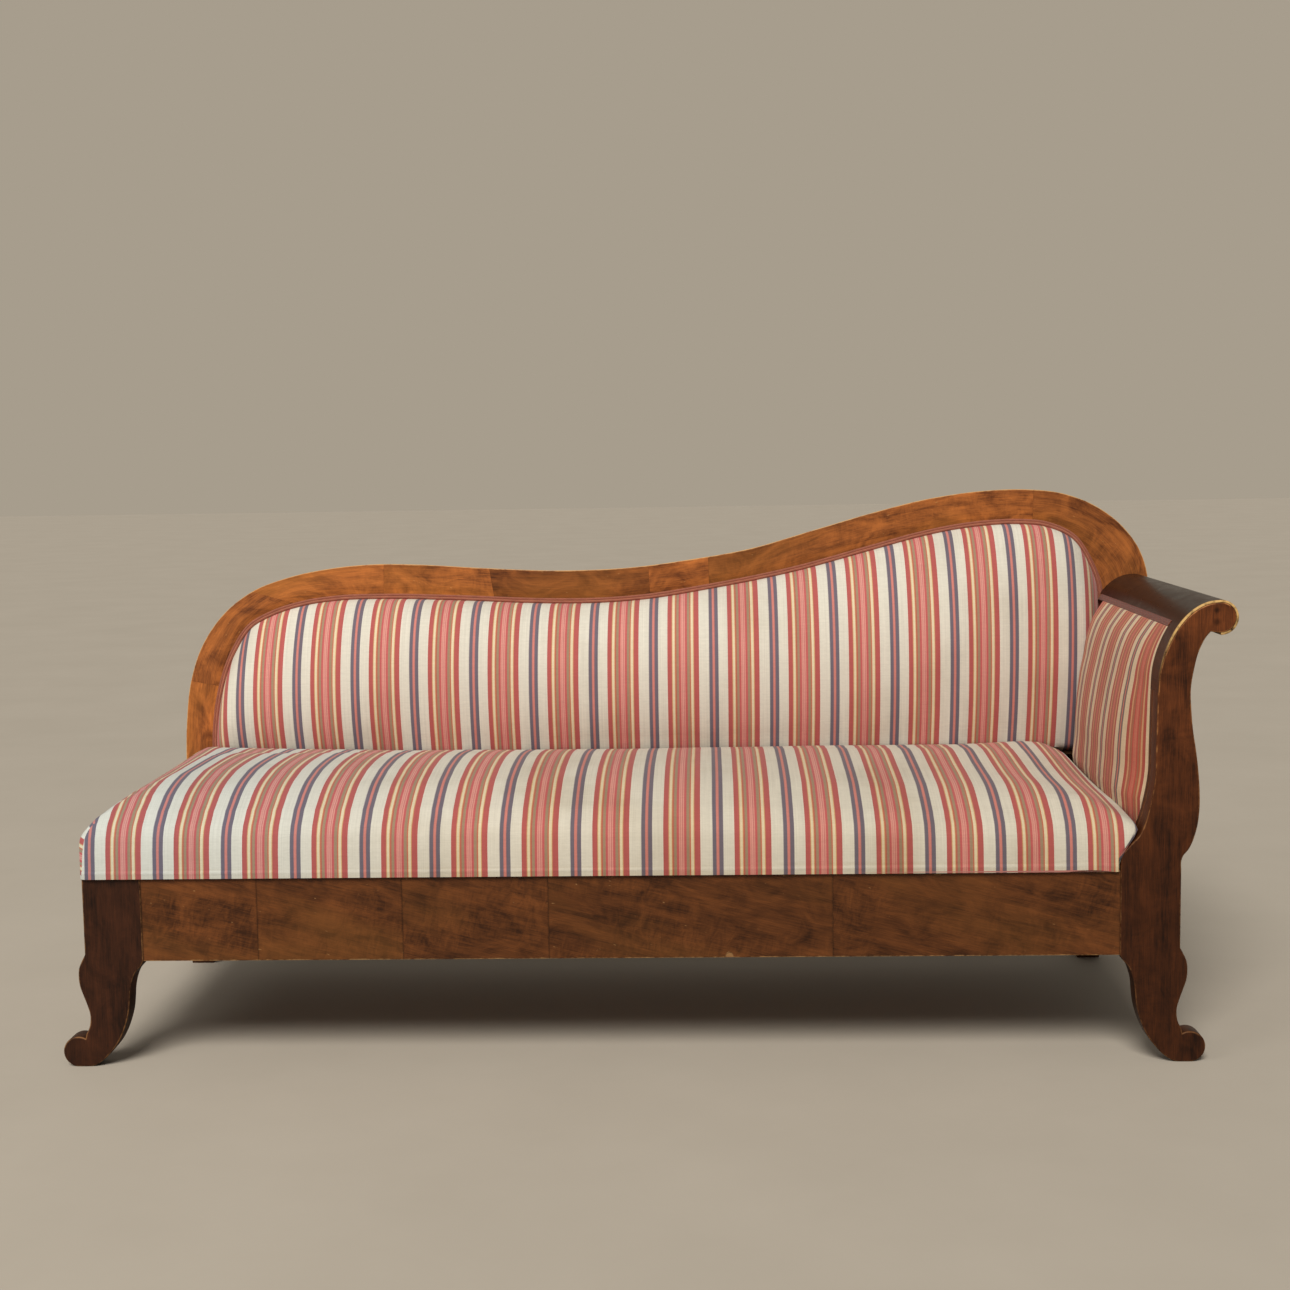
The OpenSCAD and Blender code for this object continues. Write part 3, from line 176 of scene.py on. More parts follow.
crestInnerShares = [[0.0281, 0], [0.0281, 0.17], [0.0281, 0.252], [0.0352, 0.404],
                    [0.0483, 0.517], [0.0685, 0.606], [0.0898, 0.642], [0.1216, 0.673],
                    [0.1635, 0.691], [0.2095, 0.694], [0.2848, 0.687], [0.3849, 0.673],
                    [0.435, 0.673], [0.487, 0.684], [0.5391, 0.708], [0.6323, 0.762],
                    [0.7203, 0.833], [0.7665, 0.87], [0.8079, 0.894], [0.8388, 0.904],
                    [0.8696, 0.906], [0.8949, 0.898], [0.9257, 0.854], [0.9436, 0.77],
                    [0.9515, 0.706], [0.954, 0.627], [0.954, 0.47], [0.954, 0.314], [0.954, 0.17],
                    [0.954, 0]]
steps = couch["curveSteps"]
armRise = couch["armH"] - couch["railTop"]
armNeck = armRise - 2 * couch["scrollR"]
scrollCentre = np.array([couch["scrollReach"] - couch["scrollR"], couch["armH"] - couch["scrollR"]])
legInner = smoothCurve(scaled(legInnerShares, couch["toeReach"], couch["railBottom"]))
legOuter = smoothCurve(scaled(legOuterShares, couch["toeReach"], couch["railBottom"]))
toe = arc([couch["toeReach"] - couch["toeR"], couch["toeR"]], couch["toeR"], 118, -90, 48)
legBelow = np.vstack([legOuter, toe, legInner[::-1]])
armInner = np.vstack([
    smoothCurve(np.vstack([scaled(armInnerShares, couch["scrollReach"], armRise, 0,
                                  couch["railTop"]), scrollCentre + [0, couch["scrollR"]]])),
    arc(scrollCentre, couch["scrollR"], 90, -90, 48)[1:]])
armOuter = smoothCurve(np.vstack([
    scaled(armOuterShares, couch["scrollReach"], armNeck, 0, couch["railTop"]),
    [couch["legW"], couch["railTop"]]]))
capLow, capStart = 10 * steps, 13 * steps
capThick = mix(0.0002, couch["capT"], ease(capLow, capLow + 32, np.arange(len(armInner))))
armWood = beside(armInner, capThick * (np.arange(len(armInner)) >= capLow))
crestOuter = smoothCurve(scaled(crestOuterShares, couch["backL"], couch["backH"],
                                couch["backLeftX"], backFootH))
crestInner = smoothCurve(scaled(crestInnerShares, couch["backL"], couch["backH"],
                                couch["backLeftX"], backFootH))
crestWood = beside(crestInner, couch["tackLand"])


# Places from their parts: flat ones, on a board across the front, and on the raked back
def joined(*values):
    return np.stack(np.broadcast_arrays(*values), axis=-1)


def acrossFront(a, b, depth):
    return joined(a, depth, b)


def onBack(a, b, depth):
    return joined(a, couch["backFootY"] + depth * leanCos + b * leanSin,
                  b * leanCos - depth * leanSin)


def atRight(path):
    return path + [couch["rightX"], 0]


def atLeft(path):
    return path * [-1, 1] + [couch["leftX"], 0]


# Depth of the back board's face at the height z
def backFaceY(z):
    return couch["backFootY"] + np.asarray(z) * leanSin / leanCos


# Values at the points of a grid, as the four corners of each of its faces
def atCorners(flat, closeAcross=False, closeAlong=False):
    if closeAcross:
        flat = np.hstack([flat, flat[:, :1]])
    if closeAlong:
        flat = np.vstack([flat, flat[:1]])
    return np.stack([flat[:-1, :-1], flat[:-1, 1:], flat[1:, 1:], flat[1:, :-1]], axis=2)


# A piece is gathered from grids of points, and made once all of them are in
class Piece:
    def __init__(self, name):
        self.name, self.points, self.faces, self.cloth, self.marks = name, [], [], [], {}
        self.count = 0

    # A grid of points; each quad joins four neighbours. cloth holds flat places on the cloth
    # or along the grain, at each point or at each corner of each face; marks are numbers kept
    # at each point
    def grid(self, points, closeAcross=False, closeAlong=False, cloth=None, turned=False, **marks):
        rows, cols = points.shape[:2]
        index = np.arange(rows * cols).reshape(rows, cols)
        if closeAcross:
            index = np.hstack([index, index[:, :1]])
        if closeAlong:
            index = np.vstack([index, index[:1]])
        quads = np.stack([index[:-1, :-1], index[:-1, 1:], index[1:, 1:], index[1:, :-1]], axis=-1)
        quads = quads.reshape(-1, 4)
        if turned:
            quads = quads[:, ::-1]
        flat = np.zeros((rows, cols, 2)) if cloth is None else np.asarray(cloth, float)
        corners = flat if flat.ndim == 4 else atCorners(flat, closeAcross, closeAlong)
        corners = corners.reshape(-1, 4, 2)
        if turned:
            corners = corners[:, ::-1]
        self.faces += (quads + self.count).tolist()
        self.cloth.append(corners.reshape(-1, 2))
        self.points.append(points.reshape(-1, 3))
        for key in set(self.marks) | set(marks):
            value = np.broadcast_to(marks.get(key, 0.0), (rows, cols)).reshape(-1)
            self.marks.setdefault(key, [np.zeros(self.count)] if self.count else [])
            self.marks[key].append(value)
        self.count += rows * cols
        return index[:rows, :cols] + self.count - rows * cols

    # A closed section carried along a path, with both its ends covered
    def tube(self, points, **given):
        index = self.grid(points, closeAcross=True, **given)
        self.lid(index[0][::-1])
        self.lid(index[-1])

    # The rims between a front and a back with the same edges
    def rims(self, front, back, cloth, **marks):
        for edge in ((0, ...), (-1, ...), (slice(None), 0), (slice(None), -1)):
            self.grid(np.stack([front[edge], back[edge]]), cloth=np.stack([cloth[edge]] * 2),
                      **marks)

    # One flat face over a loop of points that are there already
    def lid(self, loop):
        self.faces.append(loop.tolist())
        self.cloth.append(np.zeros((len(loop), 2)))

    def make(self, body, material, smooth=True, merge=2e-5, outward=True, sharpFrom=0.6):
        mesh = bpy.data.meshes.new(self.name)
        mesh.from_pydata(np.vstack(self.points).tolist(), [], self.faces)
        layer = mesh.uv_layers.new(name="cloth")
        layer.data.foreach_set("uv", np.vstack(self.cloth).reshape(-1))
        for key, values in self.marks.items():
            mark = mesh.attributes.new(key, "FLOAT", "POINT")
            mark.data.foreach_set("value", np.concatenate(values))
        tidyMesh(mesh, merge, outward)
        mesh.polygons.foreach_set("use_smooth", np.full(len(mesh.polygons), smooth))
        mesh.set_sharp_from_angle(angle=sharpFrom)
        thing = bpy.data.objects.new(self.name, mesh)
        scene.collection.objects.link(thing)
        mesh.materials.append(material)
        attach(thing, body)
        return thing


# Joins points that lie together and turns the faces outwards
def tidyMesh(mesh, merge, outward):
    work = bmesh.new()
    work.from_mesh(mesh)
    if merge:
        bmesh.ops.remove_doubles(work, verts=work.verts, dist=merge)
    if outward:
        bmesh.ops.recalc_face_normals(work, faces=work.faces)
    work.to_mesh(mesh)
    work.free()
    mesh.update()


# sRGB from 0 to 255 as the linear colour that a shader takes
def tone(red, green, blue):
    c = np.array([red, green, blue]) / 255
    return (*np.where(c <= 0.04045, c / 12.92, ((c + 0.055) / 1.055) ** 2.4).tolist(), 1.0)


# A socket takes a number or a colour, or the link from another node's socket
def feed(tree, socket, value):
    if isinstance(value, bpy.types.NodeSocket):
        tree.links.new(value, socket)
    else:
        socket.default_value = value


# One shader node with its settings and its inputs, by name or number
def put(tree, kind, inputs=None, **settings):
    node = tree.nodes.new("ShaderNode" + kind)
    for key, value in settings.items():
        setattr(node, key, value)
    for key, value in (inputs or {}).items():
        feed(tree, node.inputs[key], value)
    return node


def calc(tree, operation, a, b=0.0, clamp=False):
    return put(tree, "Math", {0: a, 1: b}, operation=operation, use_clamp=clamp).outputs[0]


def blendTones(tree, factor, a, b, how="MIX"):
    node = put(tree, "Mix", data_type="RGBA", blend_type=how)
    for k, value in ((0, factor), (6, a), (7, b)):
        feed(tree, node.inputs[k], value)
    return node.outputs[2]


def scaledTone(tree, colour, shade):
    return put(tree, "VectorMath", {0: colour, 3: shade}, operation="SCALE").outputs[0]


def ramp(tree, factor, stops, how="LINEAR"):
    node = put(tree, "ValToRGB", {0: factor})
    node.color_ramp.interpolation = how
    marks = node.color_ramp.elements
    for k, (place, colour) in enumerate(stops):
        mark = marks[k] if k < 2 else marks.new(place)
        mark.position, mark.color = place, colour
    return node.outputs[0]


def stretched(tree, vector, scale, shift=(0, 0, 0)):
    return put(tree, "Mapping", {"Vector": vector, "Scale": scale, "Location": shift}).outputs[0]


def noise(tree, vector, scale=1.0, detail=2.0, rough=0.5, twist=0.0):
    return put(tree, "TexNoise", {"Vector": vector, "Scale": scale, "Detail": detail,
                                  "Roughness": rough, "Distortion": twist}).outputs[0]


def span(tree, value, low, high, toLow=0.0, toHigh=1.0):
    return put(tree, "MapRange", {0: value, 1: low, 2: high, 3: toLow, 4: toHigh}).outputs[0]


# A group's tree with its inputs and outputs, each (name, kind, value)
def newGroup(name, takes, gives):
    tree = bpy.data.node_groups.new(name, "ShaderNodeTree")
    for label, kind, value in takes:
        socket = tree.interface.new_socket(label, in_out="INPUT", socket_type="NodeSocket" + kind)
        if value is not None:
            socket.default_value = value
    for label, kind in gives:
        tree.interface.new_socket(label, in_out="OUTPUT", socket_type="NodeSocket" + kind)
    return tree, tree.nodes.new("NodeGroupInput").outputs, tree.nodes.new("NodeGroupOutput").inputs


def use(tree, name, inputs):
    return put(tree, "Group", inputs, node_tree=groups[name]).outputs


# Parts of a vector: across, along, up
def parts(tree, vector):
    return put(tree, "SeparateXYZ", {0: vector}).outputs


def objectPlace(tree):
    return put(tree, "TexCoord").outputs["Object"]


def clothPlace(tree):
    return put(tree, "UVMap", uv_map="cloth").outputs[0]


# Stripes of the cover: bands across in mm, from the left edge of the navy pair
stripes = {"start": -0.0098, "wobble": 0.0009, "bands": [
    (0.7, (150, 142, 144)), (5.4, (108, 99, 112)), (0.8, (152, 104, 110)), (4.2, (206, 128, 118)),
    (0.8, (152, 104, 110)), (6.0, (108, 99, 112)), (0.6, (150, 142, 144)),
    (18.8, (219, 214, 200)), (8.4, (180, 88, 84)), (1.4, (206, 160, 112)),
    (4.3, (224, 208, 174)), (1.3, (204, 146, 100)), (2.2, (186, 98, 82)),
    (4.8, (160, 134, 108)), (4.0, (194, 92, 92)), (2.4, (214, 146, 134)),
    (0.9, (188, 100, 98)), (2.1, (218, 154, 142)), (0.9, (188, 100, 98)),
    (2.3, (214, 146, 134)), (3.8, (194, 92, 92)), (5.0, (160, 134, 108)), (2.6, (192, 110, 84)),
    (4.6, (224, 208, 174)), (1.4, (206, 160, 112)), (9.8, (180, 88, 84)),
    (20.5, (219, 214, 200))]}


# The place across the cloth, wobbled a little, wrapped into one repeat, and looked up in bands
def stripeGroup(values):
    tree, given, out = newGroup("stripes", [("Cloth", "Vector", None)],
                                [("Color", "Color"), ("Group", "Float")])
    repeat = sum(width for width, colour in values["bands"]) / 1000
    shift = calc(tree, "MULTIPLY", calc(tree, "SUBTRACT",
                 noise(tree, stretched(tree, given[0], (60, 5, 1)), 1, 2), 0.5), values["wobble"])
    across = calc(tree, "ADD", parts(tree, given[0])[0], shift)
    turn = calc(tree, "FRACT", calc(tree, "DIVIDE", calc(tree, "SUBTRACT", across,
                                                         values["start"]), repeat))
    places = np.cumsum([0] + [width for width, colour in values["bands"]]) / (repeat * 1000)
    stops = [(float(p), tone(*colour)) for p, (width, colour) in zip(places, values["bands"])]
    tree.links.new(ramp(tree, turn, stops, "CONSTANT"), out[0])
    group = [float(sum(w for w, colour in values["bands"][:k]) / (repeat * 1000)) for k in (8, 26)]
    tree.links.new(calc(tree, "MULTIPLY", calc(tree, "GREATER_THAN", turn, group[0]),
                        calc(tree, "LESS_THAN", turn, group[1])), out["Group"])
    return tree


# Threads: uneven streaks along and across, and a fine rib; Shade is about 1
def weaveGroup():
    tree, given, out = newGroup("weave", [("Cloth", "Vector", None), ("Ribs", "Float", 1100.0)],
                                [("Shade", "Float"), ("Height", "Float")])
    along = noise(tree, stretched(tree, given[0], (520, 5, 1)), 1, 2)
    across = noise(tree, stretched(tree, given[0], (12, 420, 1)), 1, 2)
    slubs = noise(tree, stretched(tree, given[0], (90, 260, 1)), 1, 3, 0.6)
    both = calc(tree, "ADD", calc(tree, "MULTIPLY", along, 0.7),
                calc(tree, "MULTIPLY", across, 0.3))
    level = calc(tree, "ADD", calc(tree, "MULTIPLY", both, 0.7), calc(tree, "MULTIPLY", slubs, 0.3))
    tree.links.new(span(tree, level, 0.3, 0.7, 0.84, 1.1), out["Shade"])
    rib = put(tree, "TexWave", {"Vector": put(tree, "CombineXYZ", {
        1: calc(tree, "MULTIPLY", parts(tree, given[0])[1], given["Ribs"])}).outputs[0],
        "Scale": 1.0, "Distortion": 0.6},
        wave_type="BANDS", bands_direction="Y").outputs[0]
    tree.links.new(calc(tree, "ADD", calc(tree, "MULTIPLY", rib, 0.35), level), out["Height"])
    return tree


# Wood with its grain along x of Place: long streaks, cloudy figure, curls across and pores
def grainGroup():
    tree, given, out = newGroup("grain", [
        ("Place", "Vector", None), ("Light", "Color", (0.3, 0.12, 0.04, 1)),
        ("Dark", "Color", (0.1, 0.04, 0.015, 1)), ("Figure", "Float", 0.5),
        ("Curl", "Float", 0.3), ("Pores", "Float", 0.5)],
        [("Color", "Color"), ("Height", "Float"), ("Rough", "Float")])
    place = given["Place"]
    streaks = noise(tree, stretched(tree, place, (4, 60, 60)), 1, 6, 0.62, 0.9)
    clouds = noise(tree, stretched(tree, place, (12, 20, 20)), 1, 6, 0.62, 1.2)
    patches = span(tree, noise(tree, stretched(tree, place, (5, 9, 9), (3, 1, 2)), 1, 2), 0.4, 0.62)
    bars = noise(tree, stretched(tree, place, (80, 24, 24)), 1, 4, 0.6, 1.6)
    fine = noise(tree, stretched(tree, place, (25, 700, 700)), 1, 3, 0.6)
    curls = calc(tree, "MULTIPLY", calc(tree, "SUBTRACT", bars, 0.5), patches)
    level = calc(tree, "ADD", calc(tree, "MULTIPLY", streaks, 0.5),
                 calc(tree, "MULTIPLY", fine, 0.5))
    for value, weight in ((calc(tree, "SUBTRACT", clouds, 0.5), given["Figure"]),
                          (curls, given["Curl"])):
        level = calc(tree, "ADD", level, calc(tree, "MULTIPLY", value, weight))
    mixed = blendTones(tree, span(tree, level, 0.3, 0.72), given["Dark"], given["Light"])
    pores = noise(tree, stretched(tree, place, (70, 1500, 1500)), 1, 2)
    holes = calc(tree, "MULTIPLY", span(tree, pores, 0.6, 0.72), given["Pores"])
    tree.links.new(blendTones(tree, calc(tree, "MULTIPLY", holes, 0.6), mixed, given["Dark"]),
                   out["Color"])
    tree.links.new(calc(tree, "SUBTRACT", calc(tree, "MULTIPLY", fine, 0.5), holes), out["Height"])
    tree.links.new(span(tree, clouds, 0.3, 0.7, -0.05, 0.08), out["Rough"])
    return tree


# Wear: an edge mark from 0 to 1, broken up by noise, as a mask
def wearGroup():
    tree, given, out = newGroup("wear", [
        ("Edge", "Float", 0.0), ("Place", "Vector", None), ("Amount", "Float", 0.5),
        ("Size", "Float", 60.0)], [("Mask", "Float")])
    spots = noise(tree, given["Place"], given["Size"], 4, 0.65)
    level = calc(tree, "ADD", spots, calc(tree, "MULTIPLY", given["Edge"], given["Amount"]))
    mask = span(tree, level, 0.72, 0.95)
    tree.links.new(calc(tree, "MULTIPLY", mask, given["Edge"], clamp=True), out["Mask"])
    return tree


groups = {"stripes": stripeGroup(stripes), "weave": weaveGroup(), "grain": grainGroup(),
          "wear": wearGroup()}
print("node groups made")


def newMaterial(name):
    material = bpy.data.materials.new(name)
    material.use_nodes = True
    return material, material.node_tree, material.node_tree.nodes["Principled BSDF"]


def finishSurface(tree, shader, colour, rough, height=None, bump=0.1, distance=0.0005, **plain):
    feed(tree, shader.inputs["Base Color"], colour)
    feed(tree, shader.inputs["Roughness"], rough)
    if height is not None:
        lift = put(tree, "Bump", {"Height": height, "Strength": bump, "Distance": distance})
        feed(tree, shader.inputs["Normal"], lift.outputs[0])
    for label, value in plain.items():
        feed(tree, shader.inputs[label.replace("_", " ")], value)


def mark(tree, name):
    return put(tree, "Attribute", attribute_name=name).outputs["Fac"]


# Polished or bare wood. turn is the grain's direction: x of the pattern comes from that axis
woodTurns = {"x": (0, 0, 0), "z": (0, math.pi / 2, 0), "y": (0, 0, math.pi / 2)}
bareWood = {"turn": "x", "figure": 0.35, "curl": 0.0, "pores": 0.3, "rough": 0.72, "coat": 0.0,
            "worn": (150, 120, 84), "wear": 0.2}
woods = {
    "legWood": {"light": (68, 36, 19), "dark": (26, 12, 6), "turn": "z", "figure": 0.8,
                "curl": 0.2, "pores": 0.5, "rough": 0.5, "coat": 0.04, "worn": (122, 84, 50),
                "wear": 0.36, "rise": [(0.0, 0.04, 0.7, 1.0)]},
    "postWood": {"light": (99, 52, 23), "dark": (36, 17, 8), "turn": "z", "figure": 0.6,
                 "curl": 0.25, "pores": 0.5, "rough": 0.48, "coat": 0.03, "worn": (132, 88, 50),
                 "wear": 0.32, "rise": [(0.28, 0.62, 0.58, 1.28), (0.735, 0.765, 1.0, 1.5)],
                 "knots": [(0.9835, 0.7846, 0.0045), (0.9838, 0.7643, 0.0055)]},
    "crestWood": {"light": (134, 78, 38), "dark": (84, 44, 22), "turn": "x", "figure": 0.4,
                  "curl": 0.1, "pores": 0.5, "rough": 0.5, "coat": 0.1, "worn": (176, 128, 76),
                  "wear": 0.4},
    "crestVeneer": {"light": (172, 101, 46), "dark": (84, 43, 19), "turn": "cloth",
                    "figure": 1.0, "curl": 0.3, "pores": 0.3, "rough": 0.42, "coat": 0.12,
                    "worn": (206, 158, 98), "wear": 0.5, "gold": (170, 106, 44)},
    "railVeneer": {"light": (110, 63, 29), "dark": (50, 26, 11), "turn": "cloth", "figure": 0.8,
                   "curl": 0.5, "pores": 0.4, "rough": 0.46, "coat": 0.08,
                   "worn": (176, 134, 86), "wear": 0.36, "gold": (106, 67, 29)},
    "rearLegWood": {"light": (92, 54, 30), "dark": (48, 27, 16), "turn": "z", "figure": 0.4,
                    "curl": 0.1, "pores": 0.6, "rough": 0.5, "coat": 0.1, "worn": (120, 90, 60),
                    "wear": 0.3},
    "endRailWood": {"light": (106, 62, 34), "dark": (54, 30, 17), "turn": "y", "figure": 0.5,
                    "curl": 0.2, "pores": 0.6, "rough": 0.45, "coat": 0.15,
                    "worn": (120, 90, 60), "wear": 0.3},
    "pineWood": {"light": (158, 118, 76), "dark": (110, 76, 44)},
    "pineUpright": {"light": (150, 112, 72), "dark": (102, 70, 42), "turn": "z"},
    "pineAcross": {"light": (154, 116, 76), "dark": (106, 74, 44), "turn": "y"},
    "dullPine": {"light": (84, 58, 36), "dark": (50, 34, 21), "rough": 0.75,
                 "worn": (110, 84, 58)},
    "birchDowel": {"light": (204, 168, 118), "dark": (160, 120, 76), "figure": 0.2, "pores": 0.2,
                   "rough": 0.7}}
leafSteps = (1.37, 0.71, 0.53)


# The grain's place in the wood, with its direction turned to x
def grainPlace(tree, source, turn):
    return put(tree, "VectorRotate", {"Vector": source, "Rotation": woodTurns[turn]},
               rotation_type="EULER_XYZ").outputs[0]


# Each leaf of a veneer takes its grain from another place
def leafPlace(tree):
    leaf = mark(tree, "leaf")
    away = put(tree, "CombineXYZ", {k: calc(tree, "MULTIPLY", leaf, size)
                                    for k, size in enumerate(leafSteps)}).outputs[0]
    return put(tree, "VectorMath", {0: clothPlace(tree), 1: away}, operation="ADD").outputs[0]


# Golden patches and a few small pale dents in the veneer
def veneerTone(tree, wood, colour, place):
    gold = span(tree, noise(tree, stretched(tree, place, (3, 8, 1)), 1, 3), 0.48, 0.7, 0, 0.4)
    dents = span(tree, noise(tree, stretched(tree, place, (90, 260, 1)), 1, 1), 0.77, 0.83, 0, 0.5)
    colour = blendTones(tree, gold, colour, tone(*wood["gold"]))
    colour = blendTones(tree, dents, colour, tone(*wood["worn"]))
    return scaledTone(tree, colour, span(tree, mark(tree, "leafTone"), -1, 1, 0.72, 1.28))


def woodMaterial(name):
    wood = bareWood | woods[name]
    material, tree, shader = newMaterial(name)
    source, veneer = objectPlace(tree), wood["turn"] == "cloth"
    place = leafPlace(tree) if veneer else grainPlace(tree, source, wood["turn"])
    grain = use(tree, "grain", {
        "Place": place, "Light": tone(*wood["light"]), "Dark": tone(*wood["dark"]),
        "Figure": wood["figure"], "Curl": wood["curl"], "Pores": wood["pores"]})
    colour = veneerTone(tree, wood, grain["Color"], place) if veneer else grain["Color"]
    worn = use(tree, "wear", {"Edge": mark(tree, "edge"), "Place": source,
                              "Amount": wood["wear"]})["Mask"]
    colour = blendTones(tree, worn, colour, tone(*wood["worn"]))
    # Dark joints and painted shade in gaps and along edges, and a tone that changes with height
    # where the wood has it
    light = calc(tree, "SUBTRACT", 1.0, calc(tree, "MULTIPLY", mark(tree, "dirt"), 0.78))
    for rise in wood.get("rise", ()):
        light = calc(tree, "MULTIPLY", light, span(tree, parts(tree, source)[2], *rise))
    # Dark knots: places across and up, with their radius
    for x, z, radius in wood.get("knots", ()):
        away = put(tree, "VectorMath", {0: source, 1: (x, couch["frontY"], z)},
                   operation="DISTANCE").outputs["Value"]
        light = calc(tree, "MULTIPLY", light,
                     span(tree, away, radius * 0.5, radius * 1.5, 0.4, 1.0))
    rough = calc(tree, "ADD", grain["Rough"], wood["rough"])
    rough = calc(tree, "ADD", rough, calc(tree, "MULTIPLY", worn, 0.2), clamp=True)
    finishSurface(tree, shader, scaledTone(tree, colour, light), rough, grain["Height"], 0.12,
                  0.0004, Coat_Weight=wood["coat"], Coat_Roughness=0.22, Specular_IOR_Level=0.15)
    return material


finishes = {name: woodMaterial(name) for name in woods}

# Striped cover: stripes times threads, grime, painted shade and painted light, a soft sheen and a
# fine rib
cover = {"rough": 0.88, "sheen": 0.12, "bump": 0.35, "distance": 0.0006, "grimeAndShade": (182, 168, 140),
         "brick": (166, 62, 40), "brickShare": 0.42, "tan": (255, 232, 204),
         "rinsed": (236, 246, 255)}


def coverMaterial(values):
    material, tree, shader = newMaterial("stripedCover")
    flat = clothPlace(tree)
    striped = use(tree, "stripes", {"Cloth": flat})
    # On the arm, painted warm shade: its red group is blended to nearly one brick tone, and all of
    # it is tinted darker and warmer for the dim bounced light it sits in
    faded = mark(tree, "faded")
    redPart = calc(tree, "MULTIPLY", striped["Group"], faded)
    colour = blendTones(tree, calc(tree, "MULTIPLY", redPart, values["brickShare"]),
                        striped["Color"], tone(*values["brick"]))
    colour = blendTones(tree, faded, colour, tone(*values["tan"]), "MULTIPLY")
    weave = use(tree, "weave", {"Cloth": flat})
    colour = scaledTone(tree, colour, weave["Shade"])
    # Random grime blotches, plus the seat's mark of painted shade and darkening, multiplied in as
    # one warm grey tone
    soiledAndShaded = span(tree, noise(tree, objectPlace(tree), 4.0, 4, 0.6), 0.5, 0.8, 0.0, 0.35)
    soiledAndShaded = calc(tree, "ADD", soiledAndShaded, mark(tree, "soil"), clamp=True)
    colour = blendTones(tree, soiledAndShaded, colour, tone(*values["grimeAndShade"]), "MULTIPLY")
    # Painted cool light: a bluish tint over the seat's left end, lit from the left
    colour = blendTones(tree, mark(tree, "rinsed"), colour, tone(*values["rinsed"]), "MULTIPLY")
    finishSurface(tree, shader, colour, values["rough"], weave["Height"], values["bump"],
                  values["distance"], Sheen_Weight=values["sheen"], Sheen_Roughness=0.5)
    return material


# Plain cloths: two tones of thread
cloths = {
    "backLining": {"light": (158, 140, 106), "dark": (128, 110, 80), "scale": 1.0},
    "hessian": {"light": (176, 148, 102), "dark": (120, 94, 60), "scale": 0.45},
    "webbing": {"light": (168, 138, 92), "dark": (104, 76, 46), "scale": 0.6}}


def clothMaterial(name):
    cloth = cloths[name]
    material, tree, shader = newMaterial(name)
    place = stretched(tree, objectPlace(tree), (cloth["scale"],) * 3)
    weave = use(tree, "weave", {"Cloth": place, "Ribs": 700.0})
    colour = blendTones(tree, span(tree, weave["Shade"], 0.9, 1.06), tone(*cloth["dark"]),
                        tone(*cloth["light"]))
    finishSurface(tree, shader, colour, 0.92, weave["Height"], 0.5, 0.001, Sheen_Weight=0.1)
    return material


finishes["stripedCover"] = coverMaterial(cover)
finishes.update({name: clothMaterial(name) for name in cloths})

# Gimp: two cords wound with lighter lines, on a flat band. Its tones are body, dark and line
gimpFinish = {"tones": {"back": ((150, 84, 62), (114, 58, 42), (180, 118, 88)),
                        "arm": ((108, 48, 31), (78, 34, 22), (128, 68, 44))},
              "slant": (0.0028, 0.0045), "ridge": 0.0055}


def gimpMaterial(name, tones):
    material, tree, shader = newMaterial(name)
    body, dark, line = (tone(*value) for value in tones)
    flat = clothPlace(tree)
    places = parts(tree, flat)
    turn = calc(tree, "FRACT", calc(tree, "ADD", *(
        calc(tree, "DIVIDE", places[k], size) for k, size in enumerate(gimpFinish["slant"]))))
    colour = blendTones(tree, span(tree, turn, 0.15, 0.5), dark, body)
    ridge = calc(tree, "FRACT", calc(tree, "DIVIDE", places[1], gimpFinish["ridge"]))
    ridge = calc(tree, "ABSOLUTE", calc(tree, "SUBTRACT", ridge, 0.5))
    colour = blendTones(tree, span(tree, ridge, 0.34, 0.48, 0.0, 0.8), colour, line)
    uneven = span(tree, noise(tree, stretched(tree, flat, (60, 300, 1)), 1, 3), 0.3, 0.7, 0.8, 1.15)
    finishSurface(tree, shader, scaledTone(tree, colour, uneven), 0.8, turn, 0.3, 0.0006,
                  Sheen_Weight=0.15)
    return material


for side, tones in gimpFinish["tones"].items():
    finishes[side + "Gimp"] = gimpMaterial(side + "Gimp", tones)

# Arm cap: dark polish that ends in the post's plain finish further down, rubbed, with its front
# edge worn down to the pale wood
capFinish = {"light": (45, 21, 12), "dark": (19, 9, 5), "lowLight": (94, 50, 23),
             "lowDark": (36, 17, 8), "worn": (212, 172, 110), "rough": 0.3, "lowRough": 0.48,
             "coat": 0.04, "polishRise": (0.66, 0.77), "wornRise": (0.66, 0.76)}


